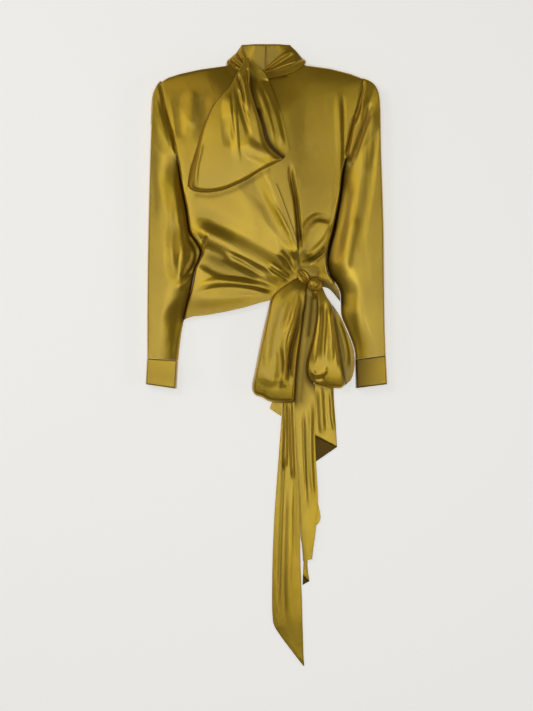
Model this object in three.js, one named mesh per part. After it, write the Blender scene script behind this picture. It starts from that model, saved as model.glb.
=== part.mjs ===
// A satin wrap blouse with padded shoulders, a draped neck bow and a tied waist, laid out flat.
//
// Millimetres. The blouse lies on its back on the plane z = 0 and is seen from above: +Y runs
// towards the collar, and the wearer's right side is at -X. The origin is under the middle of the
// whole garment, tails included. Plan points are [x, y].

import * as THREE from 'three';

// Driving dimensions
const CLOTH = 1.5;
const SEAM_GAP = 0.6;
const EDGE_TOP = 3.4;
const SHOULDER_ROLL = 30;
const SLEEVE_ROLL = 24;
const SIDE_ROLL = 17;
const HEM_DROP_SPAN = 45;
const HEM_SHARE = 0.62;
const NECK_CENTRE = [-8, 590];
const NECK_SPAN = 120;
const NECK_SHARE = 0.45;
const KNOT = { x: 78, y: 158, reach: 46, height: 9 };

// Mesh density
const BODY_STEPS = 16;
const LEFT_FRONT_STEPS = 13;
const SLEEVE_STEPS = { along: 17, arc: 10, under: 3 };

// Outlines in plan, from the neck point to the wrist
const OUTLINE_RIGHT = [
  [-81, 581], [-133, 571], [-173, 562], [-197, 555], [-211, 547], [-221, 534], [-227, 513],
  [-229, 479], [-231, 429], [-233, 369], [-235, 289], [-237, 189], [-238, 89], [-238, -5.6],
];
const OUTLINE_LEFT = [
  [79, 581], [127, 573], [167, 563], [191, 553.5], [206, 547], [218, 536], [225, 518], [227.5, 490],
  [228, 469], [229, 409], [231, 349], [234, 249], [235, 149], [236, 69], [238, 0.6],
];
const ARMHOLE_RIGHT = [
  [-211, 547], [-209, 525], [-204, 497], [-197, 469], [-189, 441], [-183, 415], [-177, 395],
];
const ARMHOLE_LEFT = [
  [193, 552.5], [190, 529], [185, 505], [177, 477], [169, 449], [163, 419], [157, 389],
];
// Where the sleeve lies against the body, from the underarm to the hem corner
const SIDE_RIGHT = [
  [-177, 395], [-173, 365], [-167, 329], [-159, 289], [-153, 249], [-141, 229], [-130, 209],
  [-134, 191], [-142, 173], [-147, 149], [-151, 127], [-157, 107], [-163, 83], [-165, 70],
];
const SIDE_LEFT = [
  [157, 389], [151, 359], [148, 329], [143, 299], [135, 259], [127, 225], [121, 197],
  [121, 177], [127, 159], [139, 143], [147, 125], [148, 107],
];
// The sleeve's inner edge below the hem corner
const FOREARM_RIGHT = [[-165, 70], [-169, 49], [-173, 19], [-176, -9.5]];
const FOREARM_LEFT = [[148, 107], [149.6, 79], [162, 49], [172.2, 23], [176.6, 5], [177, -7.6]];
// The front hem, from the wearer's right corner to the knot
const HEM = [[-165, 71], [-153, 77], [-123, 80], [-83, 87], [-43, 96], [-13, 105], [9, 111], [37, 125], [63, 141]];
// The right front's free edge, from the knot up to the neck
const WRAP_EDGE = [
  [63, 193], [59, 229], [47, 265], [31, 309], [19, 339], [9, 365], [-3, 409], [-13, 469], [-19, 519], [-21, 549],
];
// The left front's hidden edge, under the right front
const UNDER_EDGE = [
  [67, 191], [62, 213], [51, 249], [39, 279], [21, 319], [7, 352], [-7, 399], [-17, 449], [-25, 509], [-33, 549],
];
const NECKLINE_RIGHT = [[-81, 579], [-66, 563], [-44, 556], [-21, 549]];
const NECKLINE_LEFT = [[75, 577], [59, 571], [31, 563], [3, 557], [-33, 549]];
const LEFT_FRONT_HEM = [[67, 177], [86, 171], [103, 153], [122, 145], [135, 141]];
const BACK_HEM = [[-164, 73], [-123, 84], [-43, 100], [9, 115], [67, 133], [92, 136], [111, 137], [127, 131.5], [147, 108]];

// Height of the crown of body and sleeves above the plane, down the garment
const CROWN_UPPER = [
  { y: 600, height: 12 }, { y: 560, height: 22 }, { y: 520, height: 27 }, { y: 460, height: 25 }, { y: 392, height: 19 },
];
const CROWN_BODY = [{ y: 392, height: 19 }, { y: 300, height: 16 }, { y: 200, height: 17 }, { y: 70, height: 15 }];
const CROWN_SLEEVE = [{ y: 392, height: 19 }, { y: 250, height: 20 }, { y: 100, height: 19 }, { y: -5, height: 17 }];

// Folds: a ridge stands up by height and a valley has a negative one. left and right are the widths
// of its two sides, seen along the path.
const FOLDS_RIGHT_SLEEVE = [
  { path: [[-211, 523], [-205, 489], [-195, 453], [-186, 421]], left: 7, right: 6, height: -4 },
  { path: [[-217, 489], [-209, 429], [-197, 379], [-187, 319], [-178, 279]], left: 16, right: 14, height: 3 },
  { path: [[-197, 329], [-193, 279], [-191, 229], [-187, 185], [-181, 153], [-171, 143]], left: 11, right: 14, height: -5 },
  { path: [[-174, 309], [-172, 249], [-171, 199], [-166, 169]], left: 12, right: 14, height: 5 },
  { path: [[-161, 245], [-153, 213], [-149, 193], [-160, 165], [-169, 150]], left: 12, right: 11, height: -8 },
  { path: [[-176, 139], [-163, 139], [-154, 149]], left: 11, right: 9, height: 5 },
];
const FOLDS_LEFT_SLEEVE = [
  { path: [[201, 515], [195, 489], [187, 449], [175, 415], [164, 383]], left: 9, right: 9, height: 5 },
  { path: [[207, 503], [201, 473], [193, 443], [181, 409], [167, 379], [159, 359]], left: 10, right: 9, height: -6 },
  { path: [[211, 489], [203, 429], [191, 379], [179, 349]], left: 13, right: 12, height: 4 },
  { path: [[209, 469], [205, 409], [201, 349], [195, 299], [187, 249], [179, 205], [171, 159], [165, 109]], left: 10, right: 12, height: -4 },
  { path: [[166, 349], [158, 309], [151, 269], [141, 219], [135, 185]], left: 20, right: 12, height: -9 },
  { path: [[172, 279], [162, 239], [154, 199], [149, 169]], left: 12, right: 14, height: 4 },
];
const FOLDS_RIGHT_FRONT = [
  { path: [[-147, 529], [-149, 489], [-153, 459]], left: 20, right: 18, height: 3 },
  { path: [[-181, 519], [-177, 469], [-173, 429]], left: 13, right: 13, height: -3 },
  { path: [[-137, 265], [-103, 261], [-63, 249], [-23, 223], [17, 195], [47, 171]], left: 26, right: 20, height: -3.5 },
  { path: [[-151, 249], [-133, 249], [-115, 237], [-89, 223], [-53, 209], [-21, 191], [7, 175], [35, 160], [53, 153]], left: 20, right: 13, height: 9 },
  { path: [[-95, 214], [-69, 193], [-41, 177], [-17, 163], [1, 149]], left: 10, right: 12, height: 7 },
  { path: [[-131, 193], [-109, 173], [-69, 165], [-21, 157], [11, 145]], left: 16, right: 12, height: -8 },
  { path: [[-137, 131], [-121, 144], [-89, 150], [-49, 149], [-9, 145], [27, 137]], left: 10, right: 8, height: 8 },
  { path: [[-127, 129], [-97, 133], [-57, 139], [-13, 135], [31, 131]], left: 7, right: 9, height: -5 },
  { path: [[-129, 119], [-103, 113], [-63, 117], [-23, 125]], left: 14, right: 14, height: 3 },
  { path: [[31, 201], [45, 185], [59, 166]], left: 7, right: 7, height: -5 },
  { path: [[25, 187], [43, 171], [58, 159]], left: 6, right: 6, height: 4 },
  { path: [[47, 211], [55, 191], [61, 175]], left: 6, right: 6, height: 3 },
  { path: [[-17, 309], [3, 279], [27, 243], [45, 213], [57, 191]], left: 12, right: 12, height: -3 },
];
const FOLDS_LEFT_FRONT = [
  { path: [[143, 525], [145, 479], [146, 429], [146, 389], [141, 339], [135, 299], [127, 259]], left: 9, right: 12, height: 7 },
  { path: [[152, 519], [156, 469], [156, 419]], left: 11, right: 11, height: -4 },
  { path: [[48, 379], [51, 339], [57, 309], [61, 273], [64, 229], [66, 203]], left: 6, right: 7, height: -7 },
  { path: [[53, 349], [63, 309], [69, 279], [71, 239]], left: 9, right: 7, height: 4 },
  { path: [[73, 219], [75, 253], [85, 277], [101, 286], [114, 275], [119, 253], [109, 231]], left: 9, right: 10, height: 6 },
  { path: [[85, 217], [84, 245], [94, 263], [102, 266]], left: 10, right: 12, height: -8 },
  { path: [[73, 191], [91, 201], [110, 221], [123, 246]], left: 8, right: 13, height: 5 },
  { path: [[80, 178], [98, 186], [113, 204]], left: 9, right: 9, height: -5 },
];
const SHELL_FOLDS = [...FOLDS_RIGHT_SLEEVE, ...FOLDS_LEFT_SLEEVE, ...FOLDS_RIGHT_FRONT, ...FOLDS_LEFT_FRONT];

const SATIN = { color: 0x9a8230, roughness: 0.38, metalness: 0.2, side: THREE.DoubleSide };

// Curves and interpolation

function catmull(a, b, c, d, t) {
  return 0.5 * (2 * b + (c - a) * t + (2 * a - 5 * b + 4 * c - d) * t * t + (3 * b - a - 3 * c + d) * t * t * t);
}

// A smooth line through plan points, sampled evenly by length
class Route {
  constructor(points, perSpan = 8) {
    this.samples = [];
    for (let i = 0; i < points.length - 1; i += 1) {
      const [a, b, c, d] = [points[Math.max(0, i - 1)], points[i], points[i + 1], points[Math.min(points.length - 1, i + 2)]];
      for (let k = 0; k < perSpan; k += 1) {
        this.samples.push([0, 1].map((n) => catmull(a[n], b[n], c[n], d[n], k / perSpan)));
      }
    }
    this.samples.push(points[points.length - 1]);
    this.lengths = [0];
    for (let i = 1; i < this.samples.length; i += 1) {
      const [p, q] = [this.samples[i - 1], this.samples[i]];
      this.lengths.push(this.lengths[i - 1] + Math.hypot(q[0] - p[0], q[1] - p[1]));
    }
    this.length = this.lengths[this.lengths.length - 1];
  }

  at(share) {
    const target = THREE.MathUtils.clamp(share, 0, 1) * this.length;
    let i = 1;
    while (i < this.lengths.length - 1 && this.lengths[i] < target) i += 1;
    const t = (target - this.lengths[i - 1]) / (this.lengths[i] - this.lengths[i - 1]);
    return mix(this.samples[i - 1], this.samples[i], t);
  }

  // Distance from a point, the side it is on (+1 left of the route) and the share of the length there
  nearest(x, y) {
    let best = { distance: Infinity, side: 1, share: 0 };
    for (let i = 1; i < this.samples.length; i += 1) {
      const [p, q] = [this.samples[i - 1], this.samples[i]];
      const [dx, dy] = [q[0] - p[0], q[1] - p[1]];
      const t = THREE.MathUtils.clamp(((x - p[0]) * dx + (y - p[1]) * dy) / (dx * dx + dy * dy), 0, 1);
      const distance = Math.hypot(x - p[0] - t * dx, y - p[1] - t * dy);
      if (distance < best.distance) {
        const side = dx * (y - p[1]) - dy * (x - p[0]) >= 0 ? 1 : -1;
        const share = (this.lengths[i - 1] + t * (this.lengths[i] - this.lengths[i - 1])) / this.length;
        best = { distance, side, share };
      }
    }
    return best;
  }
}

function mix(a, b, t) {
  return a.map((value, n) => value + (b[n] - value) * t);
}

function smooth(t) {
  const k = THREE.MathUtils.clamp(t, 0, 1);
  return k * k * (3 - 2 * k);
}

// The rounded rise of cloth from a folded edge
function roll(t) {
  const k = 1 - THREE.MathUtils.clamp(t, 0, 1);
  return Math.sqrt(1 - k * k);
}

function fromTable(rows, key, position, value) {
  const sorted = [...rows].sort((a, b) => a[key] - b[key]);
  if (position <= sorted[0][key]) return sorted[0][value];
  for (let i = 1; i < sorted.length; i += 1) {
    const [low, high] = [sorted[i - 1], sorted[i]];
    if (position <= high[key]) {
      const t = smooth((position - low[key]) / (high[key] - low[key]));
      return low[value] + (high[value] - low[value]) * t;
    }
  }
  return sorted[sorted.length - 1][value];
}

const prepared = new Map();
function routeOf(points) {
  if (!prepared.has(points)) prepared.set(points, new Route(points));
  return prepared.get(points);
}

const FOLD_TAPER = 0.22;
function foldHeight(folds, x, y) {
  let total = 0;
  for (const fold of folds) {
    const near = routeOf(fold.path).nearest(x, y);
    const width = near.side > 0 ? fold.left : fold.right;
    if (near.distance >= width) continue;
    const across = (1 - (near.distance / width) ** 2) ** 2;
    const along = smooth(Math.min(near.share, 1 - near.share) / FOLD_TAPER + 0.25);
    total += fold.height * across * along;
  }
  return total;
}

// The upper surface of the body and sleeves

const outlines = [OUTLINE_RIGHT, OUTLINE_LEFT].map(routeOf);
const sides = [[...SIDE_RIGHT, ...FOREARM_RIGHT.slice(1)], [...SIDE_LEFT, ...FOREARM_LEFT.slice(1)]].map((points) => new Route(points));
const hem = routeOf(HEM);

function crownHeight(x, y) {
  if (y > CROWN_BODY[0].y) return fromTable(CROWN_UPPER, 'y', y, 'height');
  const near = sides.map((side) => side.nearest(x, y));
  const onSleeve = near[0].side < 0 && x < 0 || near[1].side > 0 && x > 0;
  return fromTable(onSleeve ? CROWN_SLEEVE : CROWN_BODY, 'y', y, 'height');
}

function shellHeight(x, y, folds = SHELL_FOLDS) {
  const out = Math.min(...outlines.map((outline) => outline.nearest(x, y).distance));
  const side = Math.min(...sides.map((line) => line.nearest(x, y).distance));
  const fromHem = hem.nearest(x, y).distance;
  const fromNeck = Math.hypot(x - NECK_CENTRE[0], y - NECK_CENTRE[1]);
  const outRoll = Math.abs(x) > 205 || y < 480 ? SLEEVE_ROLL : SHOULDER_ROLL;
  const openEdges = (HEM_SHARE + (1 - HEM_SHARE) * smooth(fromHem / HEM_DROP_SPAN))
    * (NECK_SHARE + (1 - NECK_SHARE) * smooth(fromNeck / NECK_SPAN));
  const loose = Math.max(2, crownHeight(x, y) + foldHeight(folds, x, y));
  const body = loose + (KNOT.height - loose) * smooth(1.25 - Math.hypot(x - KNOT.x, y - KNOT.y) / KNOT.reach);
  return EDGE_TOP + body * roll(out / outRoll) * roll(side / SIDE_ROLL) * openEdges;
}

// Solids

function flatIndex(rows, columns) {
  return (i, j) => i * columns + j;
}

function closedGeometry(points, triangles) {
  const geometry = new THREE.BufferGeometry();
  let volume = 0;
  const [a, b, c] = [new THREE.Vector3(), new THREE.Vector3(), new THREE.Vector3()];
  for (const [i, j, k] of triangles) {
    volume += a.copy(points[i]).dot(b.copy(points[j]).cross(c.copy(points[k])));
  }
  const facing = volume < 0 ? triangles.map(([i, j, k]) => [i, k, j]) : triangles;
  geometry.setAttribute('position', new THREE.Float32BufferAttribute(points.flatMap((p) => [p.x, p.y, p.z]), 3));
  geometry.setIndex(facing.flat());
  geometry.computeVertexNormals();
  return geometry;
}

function quad(a, b, c, d) {
  return [[a, b, c], [a, c, d]];
}

// A wall between two grids of points with the same rows and columns
function wall(outer, inner) {
  const [rows, columns] = [outer.length, outer[0].length];
  const index = flatIndex(rows, columns);
  const offset = rows * columns;
  const triangles = [];
  for (let i = 0; i < rows - 1; i += 1) {
    for (let j = 0; j < columns - 1; j += 1) {
      const corners = [index(i, j), index(i + 1, j), index(i + 1, j + 1), index(i, j + 1)];
      triangles.push(...quad(...corners));
      triangles.push(...quad(...corners.map((n) => n + offset).reverse()));
    }
  }
  const rim = [];
  for (let j = 0; j < columns - 1; j += 1) rim.push(index(0, j));
  for (let i = 0; i < rows - 1; i += 1) rim.push(index(i, columns - 1));
  for (let j = columns - 1; j > 0; j -= 1) rim.push(index(rows - 1, j));
  for (let i = rows - 1; i > 0; i -= 1) rim.push(index(i, 0));
  rim.forEach((here, n) => {
    const next = rim[(n + 1) % rim.length];
    triangles.push(...quad(here, next, next + offset, here + offset));
  });
  return closedGeometry([...outer.flat(), ...inner.flat()], triangles);
}

// An open tube between rings of outer points and rings of inner points
function tube(outer, inner) {
  const [rings, around] = [outer.length, outer[0].length];
  const index = (i, j) => i * around + (j % around);
  const offset = rings * around;
  const triangles = [];
  for (let j = 0; j < around; j += 1) {
    for (let i = 0; i < rings - 1; i += 1) {
      const corners = [index(i, j), index(i + 1, j), index(i + 1, j + 1), index(i, j + 1)];
      triangles.push(...quad(...corners));
      triangles.push(...quad(...corners.map((n) => n + offset).reverse()));
    }
    const last = rings - 1;
    triangles.push(...quad(index(0, j), index(0, j + 1), index(0, j + 1) + offset, index(0, j) + offset));
    triangles.push(...quad(index(last, j + 1), index(last, j), index(last, j) + offset, index(last, j + 1) + offset));
  }
  return closedGeometry([...outer.flat(), ...inner.flat()], triangles);
}

function gridOf(rows, columns, pointAt) {
  return Array.from({ length: rows + 1 }, (_, i) => Array.from({ length: columns + 1 }, (__, j) => pointAt(i / rows, j / columns)));
}

function gridNormal(grid, i, j) {
  const [rows, columns] = [grid.length, grid[0].length];
  const along = new THREE.Vector3().subVectors(grid[Math.min(i + 1, rows - 1)][j], grid[Math.max(i - 1, 0)][j]);
  const across = new THREE.Vector3().subVectors(grid[i][Math.min(j + 1, columns - 1)], grid[i][Math.max(j - 1, 0)]);
  return along.cross(across).normalize();
}

// The inside of a sheet: its points moved down through the cloth, square to it, and straight down at the edges
function underside(grid, thickness = CLOTH) {
  const facing = Math.sign(gridNormal(grid, Math.floor(grid.length / 2), Math.floor(grid[0].length / 2)).z) || 1;
  return grid.map((row, i) => row.map((point, j) => {
    const edge = i === 0 || j === 0 || i === grid.length - 1 || j === row.length - 1;
    const normal = edge ? new THREE.Vector3(0, 0, 1) : gridNormal(grid, i, j).multiplyScalar(facing);
    return point.clone().addScaledVector(normal, -thickness);
  }));
}

// The seam between a sleeve and the body, from the shoulder tip down to the hem corner, at the points
// that both sides share

const arcShare = (k, n) => 0.5 - 0.5 * Math.cos(Math.PI * k / n);
const ringShare = (i) => (i / SLEEVE_STEPS.along) ** 1.2;
const innerShare = (u) => Math.max(0, (u - 0.1) / 0.9) ** 1.15;

function seamPoints(armhole, side, forearm) {
  const [head, inner] = [new Route(armhole), new Route([...side, ...forearm.slice(1)])];
  const corner = side[side.length - 1];
  const cornerShare = inner.nearest(...corner).share;
  const points = Array.from({ length: SLEEVE_STEPS.arc + 1 }, (_, k) => head.at(arcShare(k, SLEEVE_STEPS.arc)));
  for (let i = 1; i < SLEEVE_STEPS.along; i += 1) {
    const share = innerShare(ringShare(i));
    if (share > 0.005 && share < cornerShare - 0.02) points.push(inner.at(share));
  }
  return [...points, corner];
}

function withShares(points) {
  const lengths = [0];
  points.slice(1).forEach((p, n) => lengths.push(lengths[n] + Math.hypot(p[0] - points[n][0], p[1] - points[n][1])));
  return points.map((point, n) => ({ point, share: lengths[n] / lengths[lengths.length - 1] }));
}

const SEAM_RIGHT = seamPoints(ARMHOLE_RIGHT, SIDE_RIGHT, FOREARM_RIGHT);
const SEAM_LEFT = seamPoints(ARMHOLE_LEFT, SIDE_LEFT, FOREARM_LEFT);

const blouse = new THREE.Group();
function addPiece(name, geometry) {
  const mesh = new THREE.Mesh(geometry, new THREE.MeshStandardMaterial(SATIN));
  mesh.name = name;
  blouse.add(mesh);
}

// Back: one flat panel on the plane, from the neckline to the hem

const SHOULDER_RIGHT = [[-80, 579], [-133, 571], [-173, 562], [-197, 554], [-209.5, 546]];
const SHOULDER_LEFT = [[78, 579], [127, 572], [167, 561.5], [191.5, 552]];
const BACK_NECK = { left: 78, right: -80, y: 579, drop: 22 };
const BACK_INSET = 3;

function backNeckAt(x) {
  const share = THREE.MathUtils.clamp((x - BACK_NECK.right) / (BACK_NECK.left - BACK_NECK.right), 0, 1);
  return BACK_NECK.y - BACK_NECK.drop * Math.sin(Math.PI * share);
}

function inwards(points, by) {
  return points.map(([x, y]) => [x - Math.sign(x) * by, y]);
}

function makeBack() {
  const right = new Route([...SHOULDER_RIGHT.slice(0, -1), [-206, 547.5], ...inwards(ARMHOLE_RIGHT.slice(1), BACK_INSET), ...inwards(SIDE_RIGHT.slice(1), BACK_INSET)]);
  const left = new Route([...SHOULDER_LEFT.slice(0, -1), [188, 553], ...inwards(ARMHOLE_LEFT.slice(1), BACK_INSET), ...inwards(SIDE_LEFT.slice(1), BACK_INSET)]);
  const backHem = new Route(BACK_HEM);
  const top = gridOf(14, 8, (u, v) => {
    const [start, end] = [right.at(u), left.at(u)];
    const straight = mix(start, end, v);
    const hemPoint = backHem.at(v);
    const lastRow = mix(right.at(1), left.at(1), v);
    const pull = smooth((u - 0.7) / 0.3);
    const drop = BACK_NECK.drop * Math.sin(Math.PI * v) * smooth(1 - u / 0.4);
    return new THREE.Vector3(
      straight[0] + (hemPoint[0] - lastRow[0]) * pull,
      straight[1] + (hemPoint[1] - lastRow[1]) * pull - drop,
      CLOTH,
    );
  });
  const bottom = top.map((row) => row.map((p) => new THREE.Vector3(p.x, p.y, 0)));
  addPiece('back', wall(top, bottom));
}

// Right front: a fan of cloth gathered into the knot at its waist

const WRAP_LIFT = 3.6;
const WRAP_LIFT_SPAN = 34;

function rightFrontHeight(x, y) {
  const fromEdge = routeOf(WRAP_EDGE).nearest(x, y).distance;
  const nearKnot = smooth((y - 188) / 26);
  return shellHeight(x, y) + WRAP_LIFT * smooth(1 - (fromEdge - 8) / WRAP_LIFT_SPAN) * nearKnot;
}

function makeRightFront() {
  const outer = withShares([
    ...inwards([...SEAM_RIGHT].reverse().slice(0, -1), SEAM_GAP / 2), ...[...SHOULDER_RIGHT].reverse(), ...NECKLINE_RIGHT.slice(1),
  ]);
  const [hemLine, edgeLine] = [new Route([...HEM].reverse()), new Route(WRAP_EDGE)];
  const [knotLow, knotHigh] = [[63, 141], [63, 193]];
  const [first, last] = [outer[0].point, outer[outer.length - 1].point];
  const top = Array.from({ length: BODY_STEPS + 1 }, (_, i) => outer.map(({ point, share }) => {
    const u = i / BODY_STEPS;
    const reach = 0.25 * u + 0.75 * u * u * (1.6 - 0.6 * u);
    const ray = mix(mix(knotLow, knotHigh, share), point, reach);
    const [hemPoint, hemRay] = [hemLine.at(reach), mix(knotLow, first, reach)];
    const [edgePoint, edgeRay] = [edgeLine.at(reach), mix(knotHigh, last, reach)];
    const [nearHem, nearEdge] = [(1 - share) ** 6, share ** 5];
    const x = ray[0] + (hemPoint[0] - hemRay[0]) * nearHem + (edgePoint[0] - edgeRay[0]) * nearEdge;
    const y = ray[1] + (hemPoint[1] - hemRay[1]) * nearHem + (edgePoint[1] - edgeRay[1]) * nearEdge;
    return new THREE.Vector3(x, y, rightFrontHeight(x, y));
  }));
  addPiece('front_right', wall(top, underside(top)));
}

// Left front: rows from the neck and shoulder down to the hem beside the knot

function makeLeftFront() {
  const left = withShares([
    ...SHOULDER_LEFT, ...inwards(SEAM_LEFT.slice(1).filter(([, y]) => y > 150), SEAM_GAP / 2), LEFT_FRONT_HEM[4],
  ]);
  const under = new Route([...UNDER_EDGE].reverse().concat([[67, 177]]));
  const [neck, bottom] = [new Route([...NECKLINE_LEFT].reverse()), new Route(LEFT_FRONT_HEM)];
  const [first, last] = [left[0].point, left[left.length - 1].point];
  const top = left.map(({ point, share }) => Array.from({ length: LEFT_FRONT_STEPS + 1 }, (_, j) => {
    const v = j / LEFT_FRONT_STEPS;
    const straight = mix(under.at(share), point, v);
    const [topRow, lastRow] = [mix(under.at(0), first, v), mix(under.at(1), last, v)];
    const [atNeck, atHem] = [smooth(1 - share / 0.22), smooth((share - 0.86) / 0.14)];
    const [neckPoint, hemPoint] = [neck.at(v), bottom.at(v)];
    const x = straight[0] + (neckPoint[0] - topRow[0]) * atNeck + (hemPoint[0] - lastRow[0]) * atHem;
    const y = straight[1] + (neckPoint[1] - topRow[1]) * atNeck + (hemPoint[1] - lastRow[1]) * atHem;
    return new THREE.Vector3(x, y, shellHeight(x, y));
  }));
  addPiece('front_left', wall(top, underside(top)));
}

// Sleeves: rings that start on the armhole, swing round the underarm and run to the cuff

const SLEEVE_FOOT_INSET = 3;

// One closed ring over a plan line: over the top from the outer edge to the inner one, and back along the plane
function sleeveRing(line, heightAt, thickness) {
  const { arc, under } = SLEEVE_STEPS;
  const over = Array.from({ length: arc + 1 }, (_, k) => {
    const [x, y] = line(arcShare(k, arc));
    return new THREE.Vector3(x, y, Math.max(EDGE_TOP, heightAt(x, y)));
  });
  const [start, end] = [line(0), line(1)];
  const span = Math.hypot(end[0] - start[0], end[1] - start[1]);
  const foot = SLEEVE_FOOT_INSET / span;
  const below = Array.from({ length: under + 1 }, (_, k) => {
    const [x, y] = line(1 - foot - (1 - 2 * foot) * k / under);
    return new THREE.Vector3(x, y, 0);
  });
  const outer = [...over, ...below];
  const count = outer.length;
  const direction = new THREE.Vector3(end[0] - start[0], end[1] - start[1], 0).normalize();
  const inner = outer.map((point, k) => {
    const tangent = new THREE.Vector3().subVectors(outer[(k + 1) % count], outer[(k + count - 1) % count]);
    const [run, rise] = [tangent.dot(direction), tangent.z];
    const size = Math.hypot(run, rise) || 1;
    return point.clone().addScaledVector(direction, rise / size * thickness).add(new THREE.Vector3(0, 0, -run / size * thickness));
  });
  inner.forEach((point, k) => {
    if (k > arc) point.z = thickness;
    else point.z = Math.max(point.z, thickness + 0.2);
  });
  return { outer, inner };
}

function makeSleeve(name, outline, armhole, side, forearm, sign) {
  const head = new Route(armhole);
  const shift = ([x, y]) => [x + sign * SEAM_GAP / 2, y];
  const fullOutline = routeOf(outline);
  const startShare = fullOutline.nearest(...armhole[0]).share;
  const inner = new Route([...side, ...forearm.slice(1)]);
  const rings = Array.from({ length: SLEEVE_STEPS.along + 1 }, (_, i) => {
    const u = ringShare(i);
    const outerPoint = i === 0 ? head.at(0) : fullOutline.at(startShare + (1 - startShare) * u);
    const innerPoint = shift(inner.at(innerShare(u)));
    const keep = smooth(1 - u / 0.35);
    const line = (v) => {
      const straight = mix(outerPoint, innerPoint, v);
      const [chord, curve] = [mix(head.at(0), shift(head.at(1)), v), shift(head.at(v))];
      return [straight[0] + (curve[0] - chord[0]) * keep, straight[1] + (curve[1] - chord[1]) * keep];
    };
    return sleeveRing(line, shellHeight, CLOTH);
  });
  addPiece(name, tube(rings.map((ring) => ring.outer), rings.map((ring) => ring.inner)));
}

// Cuffs: plain bands below the sleeves, 55 mm deep

const CUFF_RINGS = 2;
const CUFF_CROWN = 17;
function makeCuff(name, corners) {
  const rings = Array.from({ length: CUFF_RINGS + 1 }, (_, i) => {
    const u = i / CUFF_RINGS;
    const [outerPoint, innerPoint] = [mix(corners.outerTop, corners.outerEnd, u), mix(corners.innerTop, corners.innerEnd, u)];
    const line = (v) => mix(outerPoint, innerPoint, v);
    const span = Math.hypot(innerPoint[0] - outerPoint[0], innerPoint[1] - outerPoint[1]);
    const height = (x, y) => {
      const fromOuter = Math.hypot(x - outerPoint[0], y - outerPoint[1]);
      return EDGE_TOP + CUFF_CROWN * roll(fromOuter / SLEEVE_ROLL) * roll((span - fromOuter) / SIDE_ROLL);
    };
    return sleeveRing(line, height, CLOTH + 0.5);
  });
  addPiece(name, tube(rings.map((ring) => ring.outer), rings.map((ring) => ring.inner)));
}

// Collar: a straight stand seen from its inside, in two halves joined at the centre back

const COLLAR_THICK = 2.4;
function makeCollarHalf(name, corners) {
  const top = gridOf(3, 4, (u, v) => {
    const upper = mix(corners.upperOut, corners.upperMid, v);
    const lowerX = corners.lowerOut + (corners.upperMid[0] - corners.lowerOut) * v;
    const [x, y] = mix(upper, [lowerX, backNeckAt(lowerX) + SEAM_GAP / 2], u);
    return new THREE.Vector3(x, y, COLLAR_THICK);
  });
  addPiece(name, wall(top, top.map((row) => row.map((p) => new THREE.Vector3(p.x, p.y, 0)))));
}

// Scarf: the pleated band of the collar, from each side of the neck to the bow

function makeScarf(name, scarf) {
  const [outer, inner] = [new Route(scarf.outer), new Route(scarf.inner)];
  const top = gridOf(scarf.steps.along, scarf.steps.across, (u, v) => {
    const [x, y] = mix(outer.at(v), inner.at(v), u);
    const crown = scarf.crownTop + (scarf.crownLow - scarf.crownTop) * v;
    const pleat = scarf.pleatHeight * Math.sin(2 * Math.PI * scarf.pleats * v) * smooth(u / 0.25);
    const z = scarf.edge + (crown + pleat) * roll((u + scarf.lead) / scarf.rollShare);
    return new THREE.Vector3(x, y, Math.max(z, frontsTop(x, y) + CLOTH + PANEL_GAP));
  });
  addPiece(name, wall(top, underside(top)));
}

const SCARF_RIGHT = {
  outer: [[-50, 616], [-60, 605], [-70, 596], [-78, 585], [-80, 575], [-76, 563], [-67, 555]],
  inner: [[-38, 585], [-43, 578], [-47, 570], [-52, 560], [-56, 552]],
  steps: { along: 6, across: 17 }, pleats: 4, pleatHeight: 2.2, edge: 4.4, crownTop: 9, crownLow: 14, rollShare: 0.7, lead: 0,
};
const SCARF_LEFT = {
  outer: [[47, 618], [58, 608], [67, 597], [78, 583], [70, 573], [58, 565], [37, 557]],
  inner: [[-6, 569], [-4, 564], [-1, 559], [1, 554], [3, 550]],
  steps: { along: 9, across: 15 }, pleats: 3.5, pleatHeight: 2, edge: 4.4, crownTop: 8, crownLow: 14, rollShare: 0.5, lead: 0.08,
};

// The region of the two fronts in plan, to find what lies on them

const FRONTS = [
  ...HEM, ...LEFT_FRONT_HEM, ...[...SIDE_LEFT].reverse().slice(4), ...[...ARMHOLE_LEFT].reverse(), ...[...NECKLINE_LEFT],
  ...[...NECKLINE_RIGHT].reverse(), ...ARMHOLE_RIGHT, ...SIDE_RIGHT,
];
const frontsEdge = new Route([...FRONTS, FRONTS[0]], 1);

function insideFronts(x, y) {
  let inside = false;
  FRONTS.forEach(([x1, y1], n) => {
    const [x2, y2] = FRONTS[(n + 1) % FRONTS.length];
    if (y1 > y !== y2 > y && x < ((x2 - x1) * (y - y1)) / (y2 - y1) + x1) inside = !inside;
  });
  return inside;
}

// The top of whatever lies on the plane at a point: the fronts, falling to the plane past their edges
function frontsTop(x, y) {
  const out = insideFronts(x, y) ? 0 : frontsEdge.nearest(x, y).distance;
  if (out > 22) return 0;
  return rightFrontHeight(x, y) * smooth(1 - (out - 6) / 16);
}

// The heads of the waist ties rise to the knot
const TIE_RISE = { y: 96, span: 34, height: 9 };
function waistTop(x, y) {
  return Math.max(frontsTop(x, y), TIE_RISE.height * smooth((y - TIE_RISE.y) / TIE_RISE.span));
}

const SCARF_TOP = 21;
function neckTop(x, y) {
  return Math.max(frontsTop(x, y), SCARF_TOP * smooth((y - 530) / 18));
}

// Loops: a band that leaves its knot, turns under at the far end and comes back beneath itself.
// Each row of a loop's table is a section, from the knot to the turn: the two edges of its upper layer,
// the two of its lower one, and how far the layers stand apart.

const LAYER_GAP = 0.7;
const PANEL_GAP = 1.6;
const TURN_SHARE = 0.16;

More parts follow.
